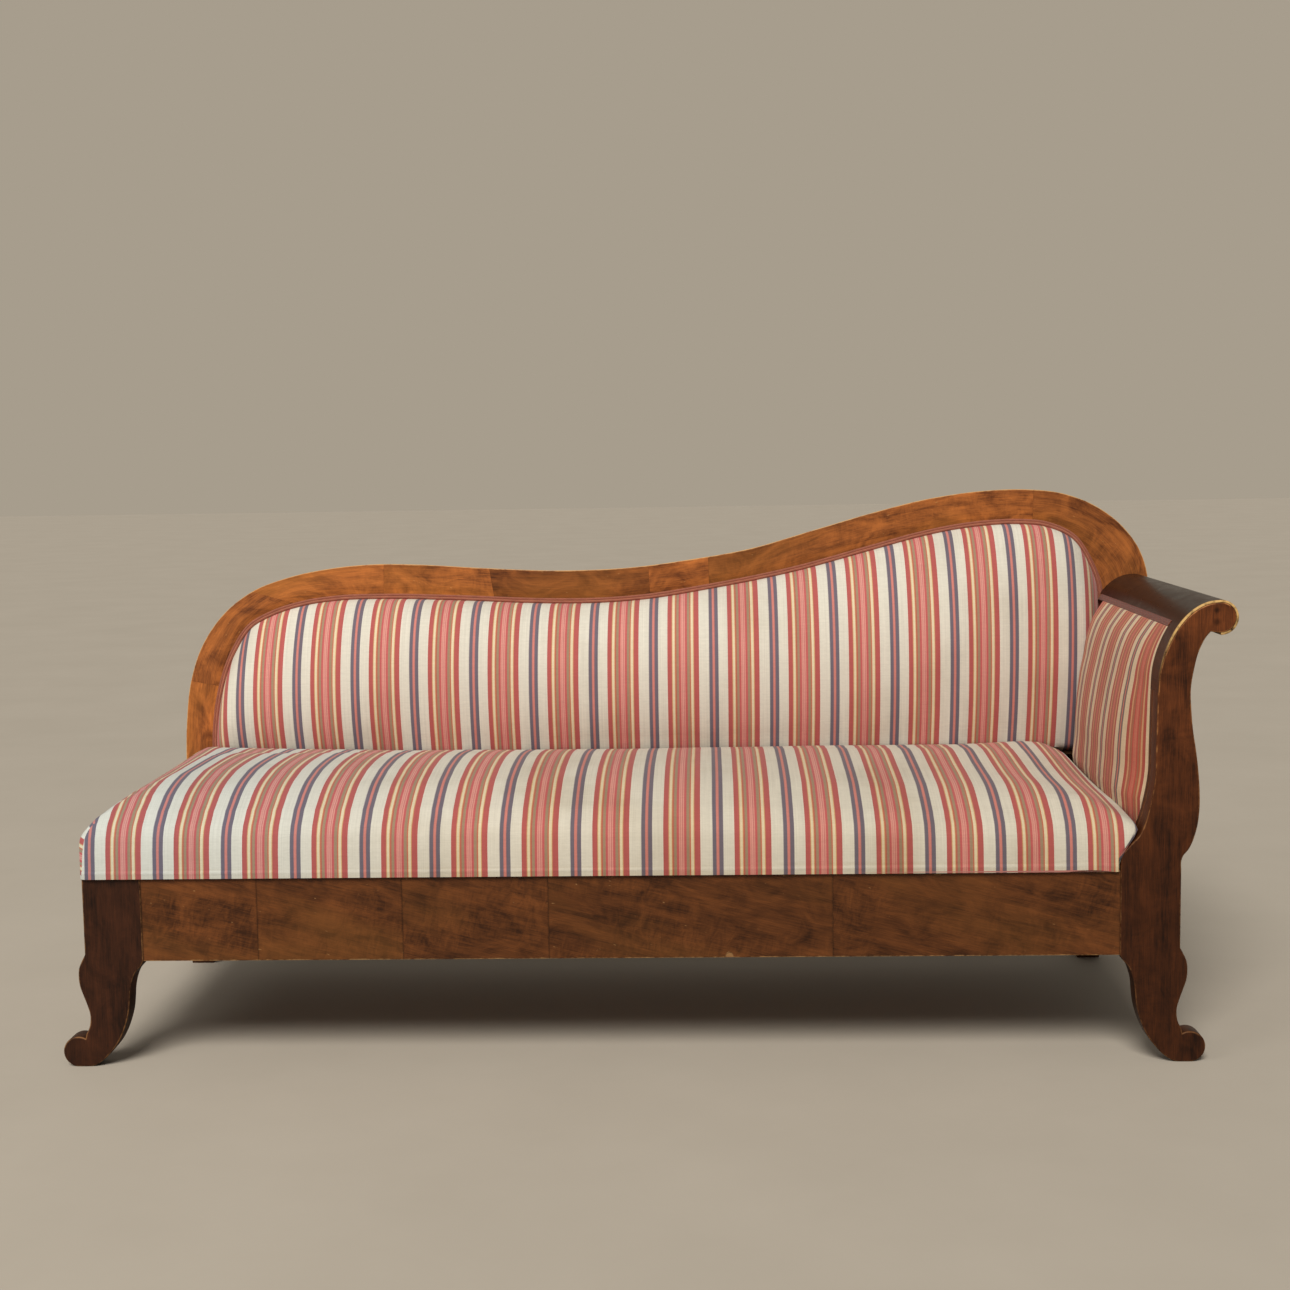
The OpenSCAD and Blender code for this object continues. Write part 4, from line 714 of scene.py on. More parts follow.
def capMaterial(values):
    material, tree, shader = newMaterial("capPolish")
    source = objectPlace(tree)
    height = parts(tree, source)[2]
    rise = span(tree, height, *values["polishRise"])
    grain = use(tree, "grain", {
        "Place": grainPlace(tree, source, "y"), "Figure": 0.4, "Curl": 0.1, "Pores": 0.4,
        "Light": blendTones(tree, rise, tone(*values["lowLight"]), tone(*values["light"])),
        "Dark": blendTones(tree, rise, tone(*values["lowDark"]), tone(*values["dark"]))})
    worn = calc(tree, "MULTIPLY", mark(tree, "edge"), span(tree, height, *values["wornRise"]))
    broken = span(tree, noise(tree, source, 55.0, 4, 0.6), 0.28, 0.5)
    worn = calc(tree, "MULTIPLY", worn, broken)
    colour = blendTones(tree, worn, grain["Color"], tone(*values["worn"]))
    rough = calc(tree, "ADD", grain["Rough"],
                 span(tree, rise, 0, 1, values["lowRough"], values["rough"]))
    rough = calc(tree, "ADD", rough, calc(tree, "MULTIPLY", worn, 0.25))
    finishSurface(tree, shader, colour, rough, grain["Height"], 0.06, 0.0003,
                  Coat_Weight=calc(tree, "MULTIPLY", rise, values["coat"]),
                  Coat_Roughness=0.2, Specular_IOR_Level=0.12)
    return material


finishes["capPolish"] = capMaterial(capFinish)

# Metals: tone, roughness, the tone of their stains, and the noise that their stains start from
metals = {"springSteel": ((122, 112, 100), 0.42, (92, 62, 42), 0.55),
          "tackIron": ((70, 66, 64), 0.45, (96, 60, 40), 0.5),
          "screwBrass": ((178, 146, 84), 0.38, (96, 78, 48), 0.45)}


def metalMaterial(name):
    bright, rough, stain, spread = metals[name]
    material, tree, shader = newMaterial(name)
    spots = span(tree, noise(tree, objectPlace(tree), 70.0, 5, 0.65), spread, spread + 0.15)
    finishSurface(tree, shader, blendTones(tree, spots, tone(*bright), tone(*stain)),
                  calc(tree, "ADD", calc(tree, "MULTIPLY", spots, 0.4), rough), spots, 0.2, 0.0003,
                  Metallic=calc(tree, "SUBTRACT", 1.0, spots))
    return material


finishes.update({name: metalMaterial(name) for name in metals})
print("materials made:", len(finishes))


# A piece with its finish, made in place of the nodes that it stands for
def dressed(piece, body, finish, slot, *stands, **how):
    thing = piece.make(body, finishes[finish], **how)
    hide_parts(*stands)
    return thing


# A closed loop, anticlockwise, moved inwards by d along the mean of its neighbours' normals
def insetLoop(loop, d):
    ahead = np.roll(loop, -1, axis=0) - loop
    ahead = ahead / np.linalg.norm(ahead, axis=1, keepdims=True)
    behind = np.roll(ahead, 1, axis=0)
    first, second = (np.column_stack([-v[:, 1], v[:, 0]]) for v in (behind, ahead))
    middle = first + second
    middle = middle / np.maximum(1e-9, np.linalg.norm(middle, axis=1, keepdims=True))
    reach = d / np.maximum(0.5, (middle * first).sum(axis=1, keepdims=True))
    return loop + reach * middle


def cleanLoop(outline):
    gap = np.linalg.norm(outline - np.roll(outline, 1, axis=0), axis=1)
    loop = outline[gap > 1e-5]
    nextX, nextZ = np.roll(loop, -1, axis=0).T
    area = (loop[:, 0] * nextZ - nextX * loop[:, 1]).sum()
    return loop if area > 0 else loop[::-1]


# A board with rounded edges: its outline moved in by r(1 - sin a) at the depth r(1 - cos a)
# from each face, then a flat ring and a lid
def roundedBoard(piece, outline, front, back, radius):
    loop = cleanLoop(filled(outline))
    turn = np.radians([0, 20, 45, 70, 90])
    inward, deep = radius * (1 - np.sin(turn)), radius * (1 - np.cos(turn))
    flat = radius + board["flat"]
    inset = np.concatenate([[flat], inward, inward[::-1], [flat]])
    depth = np.concatenate([[front], front + deep, back - deep[::-1], [back]])
    worn = np.array([0, 0.5, 1, 1, 0.8, 0.3, 0.3, 0.8, 1, 1, 0.5, 0])
    rings = np.stack([acrossFront(*insetLoop(loop, d).T, y) for d, y in zip(inset, depth)])
    piece.tube(rings, edge=worn[:, None])


board = {"radius": 0.0024, "formerRadius": 0.0012, "flat": 0.0018}
faceY = couch["frontY"]
boardBack = faceY + couch["boardT"]
formerBack = boardBack + couch["formerT"]
railEnd = [[0, couch["railTop"]], [couch["legW"], couch["railTop"]]]
frontBoards = [
    ("frontLegBoard", atLeft(np.vstack([railEnd, legBelow])), faceY, boardBack, board["radius"],
     "legWood", "front_left_leg"),
    ("scrollPost", atRight(np.vstack([armWood, armOuter, legBelow])), faceY, boardBack,
     board["radius"], "postWood", "front_right_post"),
    ("armFormer", atRight(np.vstack([armWood, armOuter])), boardBack, formerBack,
     board["formerRadius"], "postWood", "arm_front_former")]
for name, outline, front, back, radius, finish, node in frontBoards:
    piece = Piece(name)
    roundedBoard(piece, outline, front, back, radius)
    dressed(piece, "frame", finish, "post_wood", node)
print("front boards made")


# The columns of a section, each as one row of values
def columns(section):
    return (np.asarray(column)[None, :] for column in zip(*section))


# The stretch of the back between two edge lines: each point of the section is a share across
# from the outer to the inner edge, a distance on from there, and a depth
def betweenEdges(piece, outer, inner, section, **marks):
    share, on, depth = columns(section)
    across = inner - outer
    wide = np.linalg.norm(across, axis=1, keepdims=True)
    flat = outer[:, None] + across[:, None] * share[..., None]
    flat = flat + (across / wide)[:, None] * on[..., None]
    points = onBack(flat[..., 0], flat[..., 1], depth)
    points[..., 2] = np.maximum(points[..., 2], couch["railTop"])
    run = lengthsAlong((outer + inner) / 2)[:, None]
    piece.tube(points, cloth=joined(run, share * wide + on), **marks)


# Both edges between two places, each with the same count of evenly spaced points
def edgePair(first, last, innerLine, spacing=0.005, trim=0.0):
    a, b = (line[round(first[k] * steps):round(last[k] * steps) + 1]
            for k, line in enumerate((crestOuter, innerLine)))
    count = max(4, int(max(lengthsAlong(a)[-1], lengthsAlong(b)[-1]) / spacing))
    a, b = evenly(a, count), evenly(b, count)
    for p in (a, b):
        p[0], p[-1] = (mix(p[0], p[1], trim / spacing), mix(p[-1], p[-2], trim / spacing))
    return a, b


backBoards = {"joints": [(0, 0), (3, 3), (13, 13), (24, 23), (33, 29)], "radius": 0.003,
              "land": 0.004,
              "nodes": ["back_left_stile", "back_crest_left", "back_crest_right",
                        "back_right_stile"]}
face, rear = couch["veneerT"], couch["veneerT"] + couch["backBoardT"]
r, land = backBoards["radius"], backBoards["land"]
boardSection = [(0, 0, rear - r), (0, 0, rear - r - land), (0, 0, face + land), (0, 0, face),
                (0.3, 0, face), (0.7, 0, face), (1, 0, face),
                (1, 0, rear), (0.7, 0, rear), (0.3, 0, rear), (0, r, rear),
                (0, 0.3 * r, rear - 0.3 * r)]
boardEdge = np.array([0.9, 0, 0, 0.7, 0, 0, 0, 0, 0, 0, 0.8, 1])[None, :]
for k, node in enumerate(backBoards["nodes"]):
    piece = Piece("backBoard" + str(k + 1))
    outer, inner = edgePair(backBoards["joints"][k], backBoards["joints"][k + 1], crestWood)
    betweenEdges(piece, outer, inner, boardSection, edge=boardEdge)
    dressed(piece, "frame", "crestWood", "crest_wood", node, smooth=False)

# Veneer leaves on the face of the back: places in the edge lines, and each leaf's tones, from
# its start to its end
leaves = {"places": [(0, 0), (1, 1), (3, 3), (5.9, 6.8), (9.2, 9), (11.1, 10.4), (13.3, 13),
                     (14.3, 14.1), (20.3, 20.5), (33, 29)],
          "tones": [(0.8, 0.8), (0.9, 1.0), (0.2, 0.7), (1.0, 0.9), (0.6, 0.6), (-0.9, -0.8),
                    (0.7, 0.9), (-1.0, 0.8), (-0.1, 0.0)], "gap": 0.00014, "spacing": 0.004}
leafSection = [(0, 0, 0.0012), (0, 0.00015, 0.0006), (0, 0.0005, 0.0002), (0, 0.0012, 0.0),
               (0, 0.0034, 0.0), (0.35, 0, 0.0), (0.65, 0, 0.0), (1, -0.0008, 0.0),
               (1, -0.0002, 0.0002), (1, 0, 0.0012)]
leafEdge = np.array([1, 1, 1, 0.7, 0, 0, 0, 0.2, 0.4, 0.4])[None, :]
piece = Piece("crestVeneer")
for k, leafShade in enumerate(leaves["tones"]):
    outer, inner = edgePair(leaves["places"][k], leaves["places"][k + 1], crestInner,
                            leaves["spacing"], leaves["gap"])
    betweenEdges(piece, outer, inner, leafSection, edge=leafEdge, leaf=k + 1,
                 leafTone=np.linspace(*leafShade, len(outer))[:, None])
dressed(piece, "frame", "crestVeneer", "crest_veneer", "back_veneer", merge=0)
print("back boards and their veneer made")

# Rail veneer: leaves along the front, with chips out of the top edge, dark joints, and painted
# shade along its top and bottom edges and in the gap at the left leg
rail = {"shares": [0, 0.12, 0.27, 0.42, 0.71, 1], "tones": [0.4, 0.25, -0.05, -0.25, -0.2],
        "gap": 0.00012, "step": 0.0015, "chips": 26, "chipWide": (0.002, 0.009),
        "chipDeep": (0.0006, 0.003), "seed": 11, "lowChip": (0.155, 0.0075, 0.009),
        "round": 0.0003, "dirt": 0.55, "legGapShade": 0.45, "endWide": 0.01, "jointDarkWide": 0.0022,
        "slope": [[0.97, 0.24], [-0.24, 0.97]],
        "edge": [0.6, 1, 1, 0, 0, 0, 0.15, 1, 0.6, 1],
        "railEdgeShade": [1, 0.6, 0.2, 0, 0, 0, 0, 0.6, 0.9, 1]}


# Depth of the chips at x: the deepest of the notches, each a round-bottomed dip
def chipDepth(x, values):
    draw = np.random.default_rng(values["seed"])
    where = draw.uniform(couch["leftX"], couch["rightX"], values["chips"])
    wide = draw.uniform(*values["chipWide"], values["chips"])
    deep = draw.uniform(*values["chipDeep"], values["chips"])
    off = np.abs(x[:, None] - where) / wide
    return (deep * np.sqrt(np.clip(1 - off**2, 0, 1))).max(axis=1)


back = faceY + couch["veneerT"]
piece = Piece("railVeneerLeaves")
for k, leafShade in enumerate(rail["tones"]):
    x0, x1 = (mix(couch["leftX"], couch["rightX"], s) for s in rail["shares"][k:k + 2])
    x = np.linspace(x0 + rail["gap"], x1 - rail["gap"], int((x1 - x0) / rail["step"]))
    top = couch["railTop"] - chipDepth(x, rail)
    where, wide, deep = rail["lowChip"]
    low = couch["railBottom"] + deep * np.sqrt(np.clip(1 - ((x - where) / wide)**2, 0, 1))
    ends = np.minimum(x - x0, x1 - x)
    # Dark joints between the leaves, and painted shade in the gap where the first leaf meets the
    # left leg
    most = rail["dirt"] + rail["legGapShade"] * (k == 0) * (x < x0 + rail["endWide"])
    dirt = (most * np.clip(1 - ends / rail["jointDarkWide"], 0, 1))[:, None]
    rowZ = [low, low, low + 0.0006, low + 0.003, mix(low, top, 0.33), mix(low, top, 0.66),
            top - 0.004, top - 0.0006, top, top]
    rowY = [back, faceY + rail["round"], *[faceY] * 6, faceY + rail["round"], back]
    points = np.stack([np.column_stack([x, np.full_like(x, y), z])
                       for y, z in zip(rowY, rowZ)], axis=1)
    # Joint darkening and the painted shade of the top and bottom edges share one mark: the larger
    # of the two at each point
    piece.tube(points, cloth=points[..., [0, 2]] @ np.array(rail["slope"]),
               edge=np.array(rail["edge"])[None, :], leaf=k + 11, leafTone=leafShade,
               dirt=np.maximum(dirt, np.array(rail["railEdgeShade"])[None, :]))
dressed(piece, "frame", "railVeneer", "rail_veneer", "front_rail_veneer", merge=0)
print("rail veneer made")

# Arm cap: a bent sheet along the arm's outline; its section is (share along the depth, distance
# on from there, distance in from the face)
cap = {"round": 0.0014, "rearGap": 0.0028}
t = couch["capT"]
r = cap["round"]
capSection = [(0, r, 0), (0, 0.3 * r, 0.3 * r), (0, 0, r), (0, 0, t - r * 0.5), (0, r * 0.5, t),
              (0.3, 0, t), (0.7, 0, t), (1, 0, t), (1, 0, 0), (0.97, 0, 0), (0.7, 0, 0),
              (0.4, 0, 0), (0.1, 0, 0), (0, 0.006, 0), (0, 2.4 * r, 0)]
capEdge = np.array([1, 1, 1, 1, 0.6, 0, 0, 0, 0, 0, 0, 0, 0, 0, 0.5])[None, :]
rows = np.r_[capLow:capStart + 1, capStart:len(armInner)]
thin = capThick[rows][:, None] / t
share, on, inside = columns(capSection)
normals = (beside(armInner, 1.0) - armInner)[rows]
flat = armInner[rows][:, None] + normals[:, None] * (inside * thin)[..., None]
rearY = np.concatenate([np.full(capStart + 1 - capLow, formerBack),
                        backFaceY(armInner[capStart:, 1]) - cap["rearGap"] / leanCos])
y = faceY + (rearY[:, None] - faceY) * share + on
piece = Piece("armCap")
piece.tube(acrossFront(flat[..., 0] + couch["rightX"], flat[..., 1], y), edge=capEdge)
dressed(piece, "frame", "capPolish", "cap_wood", "arm_cap")
print("arm cap made")

# Gimp: a band with two ridges; its height at the share s of its width is a round edge times
# level - ridge cos(4 pi s), with a fine twist along its length
gimp = {"width": 0.011, "armWidth": 0.013, "height": 0.0021, "twist": 0.0032, "spacing": 0.0011,
        "sunk": 0.0002, "base": 0.0004, "armSunk": 0.0004, "armBase": 0.0008, "armStop": 0.024,
        "points": 15, "baseAt": [-1, 7, 0], "level": 0.72, "ridge": 0.28, "twistDeep": 0.09,
        "twistLean": 1.2}


def gimpHeight(s, along, values):
    body = np.sqrt(np.clip(1 - (2 * s - 1)**4, 0, 1))
    ridges = values["level"] - values["ridge"] * np.cos(4 * np.pi * s)
    turn = values["twistDeep"] * np.sin(2 * np.pi * (along / values["twist"]
                                                     + values["twistLean"] * s))
    return values["height"] * body * (ridges + turn * body)


# A gimp: rows of points on its top, closed by three points of its base
def gimpPiece(name, top, base, along, across, node):
    cloth = joined(along, across)
    piece = Piece(name)
    piece.tube(np.concatenate([top, base[:, gimp["baseAt"]]], axis=1),
               cloth=np.concatenate([cloth, cloth[:, gimp["baseAt"]]], axis=1))
    dressed(piece, "frame", name, "gimp_braid", node)


padEnd = len(crestInnerShares) - 2
line = crestInner[steps:padEnd * steps + 1]
line = evenly(line, int(lengthsAlong(line)[-1] / gimp["spacing"]))
s = np.linspace(0, 1, gimp["points"])[None, :]
along = lengthsAlong(line)[:, None]
normal = beside(line, 1.0) - line
flat = line[:, None] + normal[:, None] * (s * gimp["width"])[..., None]
gimpPiece("backGimp",
          onBack(flat[..., 0], flat[..., 1], gimp["sunk"] - gimpHeight(s, along, gimp)),
          onBack(flat[..., 0], flat[..., 1], gimp["base"]), along, s * gimp["width"], "back_gimp")

# Arm gimp: just below the cap, back to the swell of the back pad
capFoot = armInner[capStart]
rows = np.arange(formerBack, backFaceY(capFoot[1]) - gimp["armStop"], gimp["spacing"])[:, None]
lineDown = armInner[:capStart + 1][::-1]
across = s * gimp["armWidth"]
flatX, flatZ = (np.interp(across, lengthsAlong(lineDown), lineDown[:, k]) for k in (0, 1))
normal = beside(armInner, 1.0)[capStart] - capFoot
flatX = flatX + couch["rightX"]
lift = gimpHeight(s, rows, gimp) - gimp["armSunk"]
gimpPiece("armGimp", acrossFront(flatX - normal[0] * lift, flatZ - normal[1] * lift, rows),
          acrossFront(flatX + normal[0] * gimp["armBase"], flatZ + normal[1] * gimp["armBase"],
                      rows), rows, across, "arm_gimp")
print("gimp made")


# Slow unevenness of stuffing: a sum of a few sines with seeded directions and phases
def unevenness(a, b, seed, waves=7, longest=0.5, shortest=0.11):
    draw = np.random.default_rng(seed)
    total = 0.0
    for length in np.geomspace(longest, shortest, waves):
        angle, phase = draw.uniform(0, 2 * np.pi, 2)
        total = total + length * np.sin(2 * np.pi * (a * math.cos(angle) + b * math.sin(angle))
                                        / length + phase)
    return total / np.geomspace(longest, shortest, waves).sum()


# Cloth under pressure: a remeshed copy of the pad is blown up with its held points kept, and
# the capped moves of its nearest points, weighted by 1 / distance, are handed to the pad
puffs = {"pressure": 4.0, "frames": 20, "quality": 4, "tension": 15.0, "bending": 0.5,
         "nearest": 4, "least": 1e-5}


def puffed(thing, voxel, cap, held):
    copy = bpy.data.objects.new("puffCopy", thing.data.copy())
    scene.collection.objects.link(copy)
    coarse = copy.modifiers.new("coarse", "REMESH")
    coarse.mode, coarse.voxel_size = "VOXEL", voxel
    graph = bpy.context.evaluated_depsgraph_get()
    mesh = bpy.data.meshes.new_from_object(copy.evaluated_get(graph))
    blown = bpy.data.objects.new("puffBlown", mesh)
    scene.collection.objects.link(blown)
    start = coordinates(mesh)
    group = blown.vertex_groups.new(name="held")
    group.add(np.flatnonzero(held(*start.T)).tolist(), 1.0, "REPLACE")
    cloth = blown.modifiers.new("cloth", "CLOTH")
    settings = cloth.settings
    settings.quality, settings.use_pressure = puffs["quality"], True
    settings.uniform_pressure_force = puffs["pressure"]
    settings.vertex_group_mass = "held"
    settings.tension_stiffness = settings.compression_stiffness = puffs["tension"]
    settings.bending_stiffness = puffs["bending"]
    settings.effector_weights.gravity = 0
    cloth.collision_settings.use_self_collision = False
    cloth.point_cache.frame_start, cloth.point_cache.frame_end = 1, puffs["frames"]
    for k in range(1, puffs["frames"] + 1):
        scene.frame_set(k)
    graph = bpy.context.evaluated_depsgraph_get()
    move = coordinates(blown.evaluated_get(graph).data) - start
    size = np.linalg.norm(move, axis=1, keepdims=True)
    move = move * (cap * np.tanh(size / cap) / np.maximum(size, 1e-9))
    for extra in (blown, copy):
        bpy.data.objects.remove(extra)
    scene.frame_set(1)
    tree = KDTree(len(start))
    for k, point in enumerate(start.tolist()):
        tree.insert(point, k)
    tree.balance()
    points = coordinates(thing.data)
    near = [[(k, 1 / (gap + puffs["least"])) for place, k, gap in
             tree.find_n(point, puffs["nearest"])] for point in points.tolist()]
    index, weight = (np.array([[pair[c] for pair in row] for row in near]) for c in (0, 1))
    share = weight / weight.sum(axis=1, keepdims=True)
    points = points + (move[index.astype(int)] * share[..., None]).sum(axis=1)
    thing.data.vertices.foreach_set("co", points.reshape(-1))
    thing.data.update()
    print("puffed", thing.name, "mean mm", round(float(size.mean() * 1000), 2))


# A pad: made and puffed, and its nodes hidden
def padOf(piece, body, nodes, voxel, cap, held, merge=2e-5):
    thing = piece.make(body, finishes["stripedCover"], merge=merge)
    puffed(thing, voxel, cap, held)
    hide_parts(*nodes)


# Steps that are fine at 0 and widen up to size, as a quarter of a cosine
def widening(size, count):
    return size * (1 - np.cos(np.linspace(0, np.pi / 2, count)))


def coordinates(mesh):
    values = np.empty(len(mesh.vertices) * 3, np.float32)
    mesh.vertices.foreach_get("co", values)
    return values.reshape(-1, 3).astype(float)


# Back pad: its depth in front of the board, tables by x in metres
backPad = {"bottom": 0.109, "edge": 0.011, "edgeRound": 0.045, "tuck": 0.012, "rows": 74,
           "spacing": 0.008, "uneven": 0.0022, "seed": 3, "ends": (0.07, 22),
           "inner": (0.078, 0.074), "crowded": 1.25, "unevenFrom": 0.03, "sunk": 0.0005,
           "thin": 0.0035, "voxel": 0.010, "puff": 0.004,
           "held": {"proud": 0.030, "below": 0.50, "right": 0.78},
           "depth": ((-0.891, -0.828, -0.710, -0.465, -0.200, 0.200, 0.612, 0.851, 0.919),
                     (0.045, 0.066, 0.088, 0.127, 0.130, 0.128, 0.118, 0.079, 0.050)),
           "full": ((-0.828, -0.710, -0.465, 0.612, 0.851), (0.58, 0.58, 0.45, 0.50, 0.40)),
           "power": ((-0.828, -0.710, -0.465, 0.0, 0.612, 0.851),
                     (1.6, 1.35, 0.9, 1.1, 1.4, 0.9)),
           "fall": ((-0.891, -0.828, -0.710, -0.465, 0.612, 0.851, 0.919),
                    (0.75, 0.68, 0.58, 0.38, 0.41, 0.84, 0.90)),
           "shift": ((-0.76, -0.64, -0.52, -0.40, -0.16, 0.43, 0.55),
                     (0.0120, 0.0140, 0.0167, 0.0175, 0.0157, 0.0148, 0.0131))}
padLine = beside(crestInner, backPad["edge"])[steps:padEnd * steps + 1]
padLeft, padRight = padLine[0, 0], padLine[-1, 0]
padBottom = backFootH + backPad["bottom"]
order = np.argsort(padLine[:, 0], kind="stable")


def table(values, x):
    return np.interp(x, *values)


# Depth = D(x) rise(t) fall(t) side(x), with t from 0 at the top edge to 1 at the bottom
def padDepth(x, t, values):
    full = table(values["full"], x)
    rise = (1 - (1 - np.minimum(1, t / full))**2) ** (0.5 * table(values["power"], x))
    fall = 1 - table(values["fall"], x) * np.clip((t - full) / (1 - full), 0, 1)**2
    side = quarterRound(np.minimum(x - padLeft, padRight - x) / values["edgeRound"])
    return table(values["depth"], x) * rise * fall * side


ends = widening(*backPad["ends"])
x = np.concatenate([padLeft + ends,
                    np.arange(padLeft + backPad["inner"][0], padRight - backPad["inner"][1],
                              backPad["spacing"]), padRight - ends[::-1]])
topB = np.interp(x, np.maximum.accumulate(padLine[:, 0]), padLine[:, 1])
t = np.linspace(0, 1, backPad["rows"])[:, None]**backPad["crowded"]
b = topB[None, :] + (padBottom - topB[None, :]) * t
xx = np.broadcast_to(x, b.shape)
swell = padDepth(xx, t, backPad) * quarterRound((b - padBottom) / backPad["tuck"])
swell = swell + (backPad["uneven"] * unevenness(xx, b, backPad["seed"])
                 * np.clip(swell / backPad["unevenFrom"], 0, 1))
cloth = joined(xx - table(backPad["shift"], xx), b)
front = onBack(xx, b, -swell)
back = onBack(xx, b, backPad["sunk"] - np.minimum(backPad["thin"], 0.5 * swell))
piece = Piece("backPad")
piece.grid(front, cloth=cloth)
piece.rims(front, back, cloth)
piece.grid(back, cloth=cloth)


# Held: round its edge, behind, and where the seat meets it
def backHeld(x, y, z):
    held = backPad["held"]
    return (backFaceY(z) - y < held["proud"]) | (z < held["below"]) | (x > held["right"])


padOf(piece, "frame", ("back_cover", "back_stuffing"), backPad["voxel"], backPad["puff"], backHeld)
print("back pad made")

# Arm pad: swell by height, fill by depth behind the front
armPad = {"low": 0.0005, "rows": 62, "spacing": 0.007, "rearR": 0.015, "uneven": 0.0012, "seed": 5,
          "swell": ((0.337, 0.442, 0.465, 0.521, 0.568, 0.614, 0.651, 0.688, 0.721, 0.763),
                    (0.015, 0.030, 0.032, 0.034, 0.031, 0.025, 0.017, 0.013, 0.010, 0.0)),
          "fill": ((0.058, 0.066, 0.075, 0.085, 0.105, 0.130, 0.158, 0.220, 0.277, 0.400, 0.560),
                   (0.0, 0.10, 0.19, 0.31, 0.58, 0.76, 0.88, 0.96, 1.0, 1.0, 0.93)),
          "rear": 0.2026, "rearSlope": 0.1086, "rearFrom": 0.45, "frontGap": 0.0005,
          "ends": (0.05, 14), "inner": (0.058, 0.02), "rearCount": 9, "unevenFrom": 0.01,
          "thick": 0.012, "stripeAt": 0.158, "voxel": 0.006, "puff": 0.003,
          "held": {"proud": 0.008, "below": 0.46, "above": 0.68, "rear": 0.03}}
upLine = armInner[:capStart + 1]
upLength = lengthsAlong(upLine)
station = np.interp(np.linspace(0, upLength[-1] - gimp["armWidth"], armPad["rows"]), upLength,
                    np.arange(len(upLine)))
armX, armZ = (np.interp(station, np.arange(len(upLine)), upLine[:, k]) for k in (0, 1))
# Behind the post the pad stands straight up from the rail to the lower curve of the post
armX = np.maximum(armX, upLine[6 * steps, 0] * (armZ < upLine[6 * steps, 1]))
armZ[0] = couch["railTop"] + armPad["low"]
y = np.concatenate([formerBack + armPad["frontGap"] + widening(*armPad["ends"]),
                    np.arange(formerBack + armPad["inner"][0], armPad["rear"] - armPad["inner"][1],
                              armPad["spacing"]),
                    armPad["rear"] - armPad["rearR"] * (1 - np.sin(np.linspace(
                        0, np.pi / 2, armPad["rearCount"])))])
fill = table(armPad["fill"], y - faceY)
fill = fill * quarterRound((armPad["rear"] - y) / armPad["rearR"])
swell = table(armPad["swell"], armZ)[:, None] * fill[None, :]
swell = swell + (armPad["uneven"] * unevenness(y[None, :], armZ[:, None], armPad["seed"])
                 * np.clip(swell / armPad["unevenFrom"], 0, 1))
x = couch["rightX"] + armX[:, None] - swell
# The rear edge leans with the back
rearAt = armPad["rear"] + armPad["rearSlope"] * (armZ - armPad["rearFrom"])
y = formerBack + (y - formerBack) * ((rearAt - formerBack)
                                     / (armPad["rear"] - formerBack))[:, None]
face = acrossFront(x, armZ[:, None], y)
inside = acrossFront(couch["rightX"] + armX[:, None] + armPad["thick"], armZ[:, None], y)
runUp = lengthsAlong(np.column_stack([armX, armZ]))[:, None]
cloth = joined(y - faceY - armPad["stripeAt"], runUp)
piece = Piece("armPad")
# The whole arm pad carries the painted warm shade in its colour
piece.grid(face, cloth=cloth, faded=1.0)
piece.grid(inside, cloth=cloth, faded=1.0)
piece.rims(face, inside, cloth, faded=1.0)


# Held: its edges, its back and where the seat meets it
def armHeld(x, y, z):
    held = armPad["held"]
    proud = couch["rightX"] + np.interp(z, armZ, armX) - x
    return ((proud < held["proud"]) | (z < held["below"]) | (z > held["above"])
            | (y > armPad["rear"] - held["rear"]))


padOf(piece, "frame", ("arm_cover", "arm_stuffing"), armPad["voxel"], armPad["puff"], armHeld)
print("arm pad made")

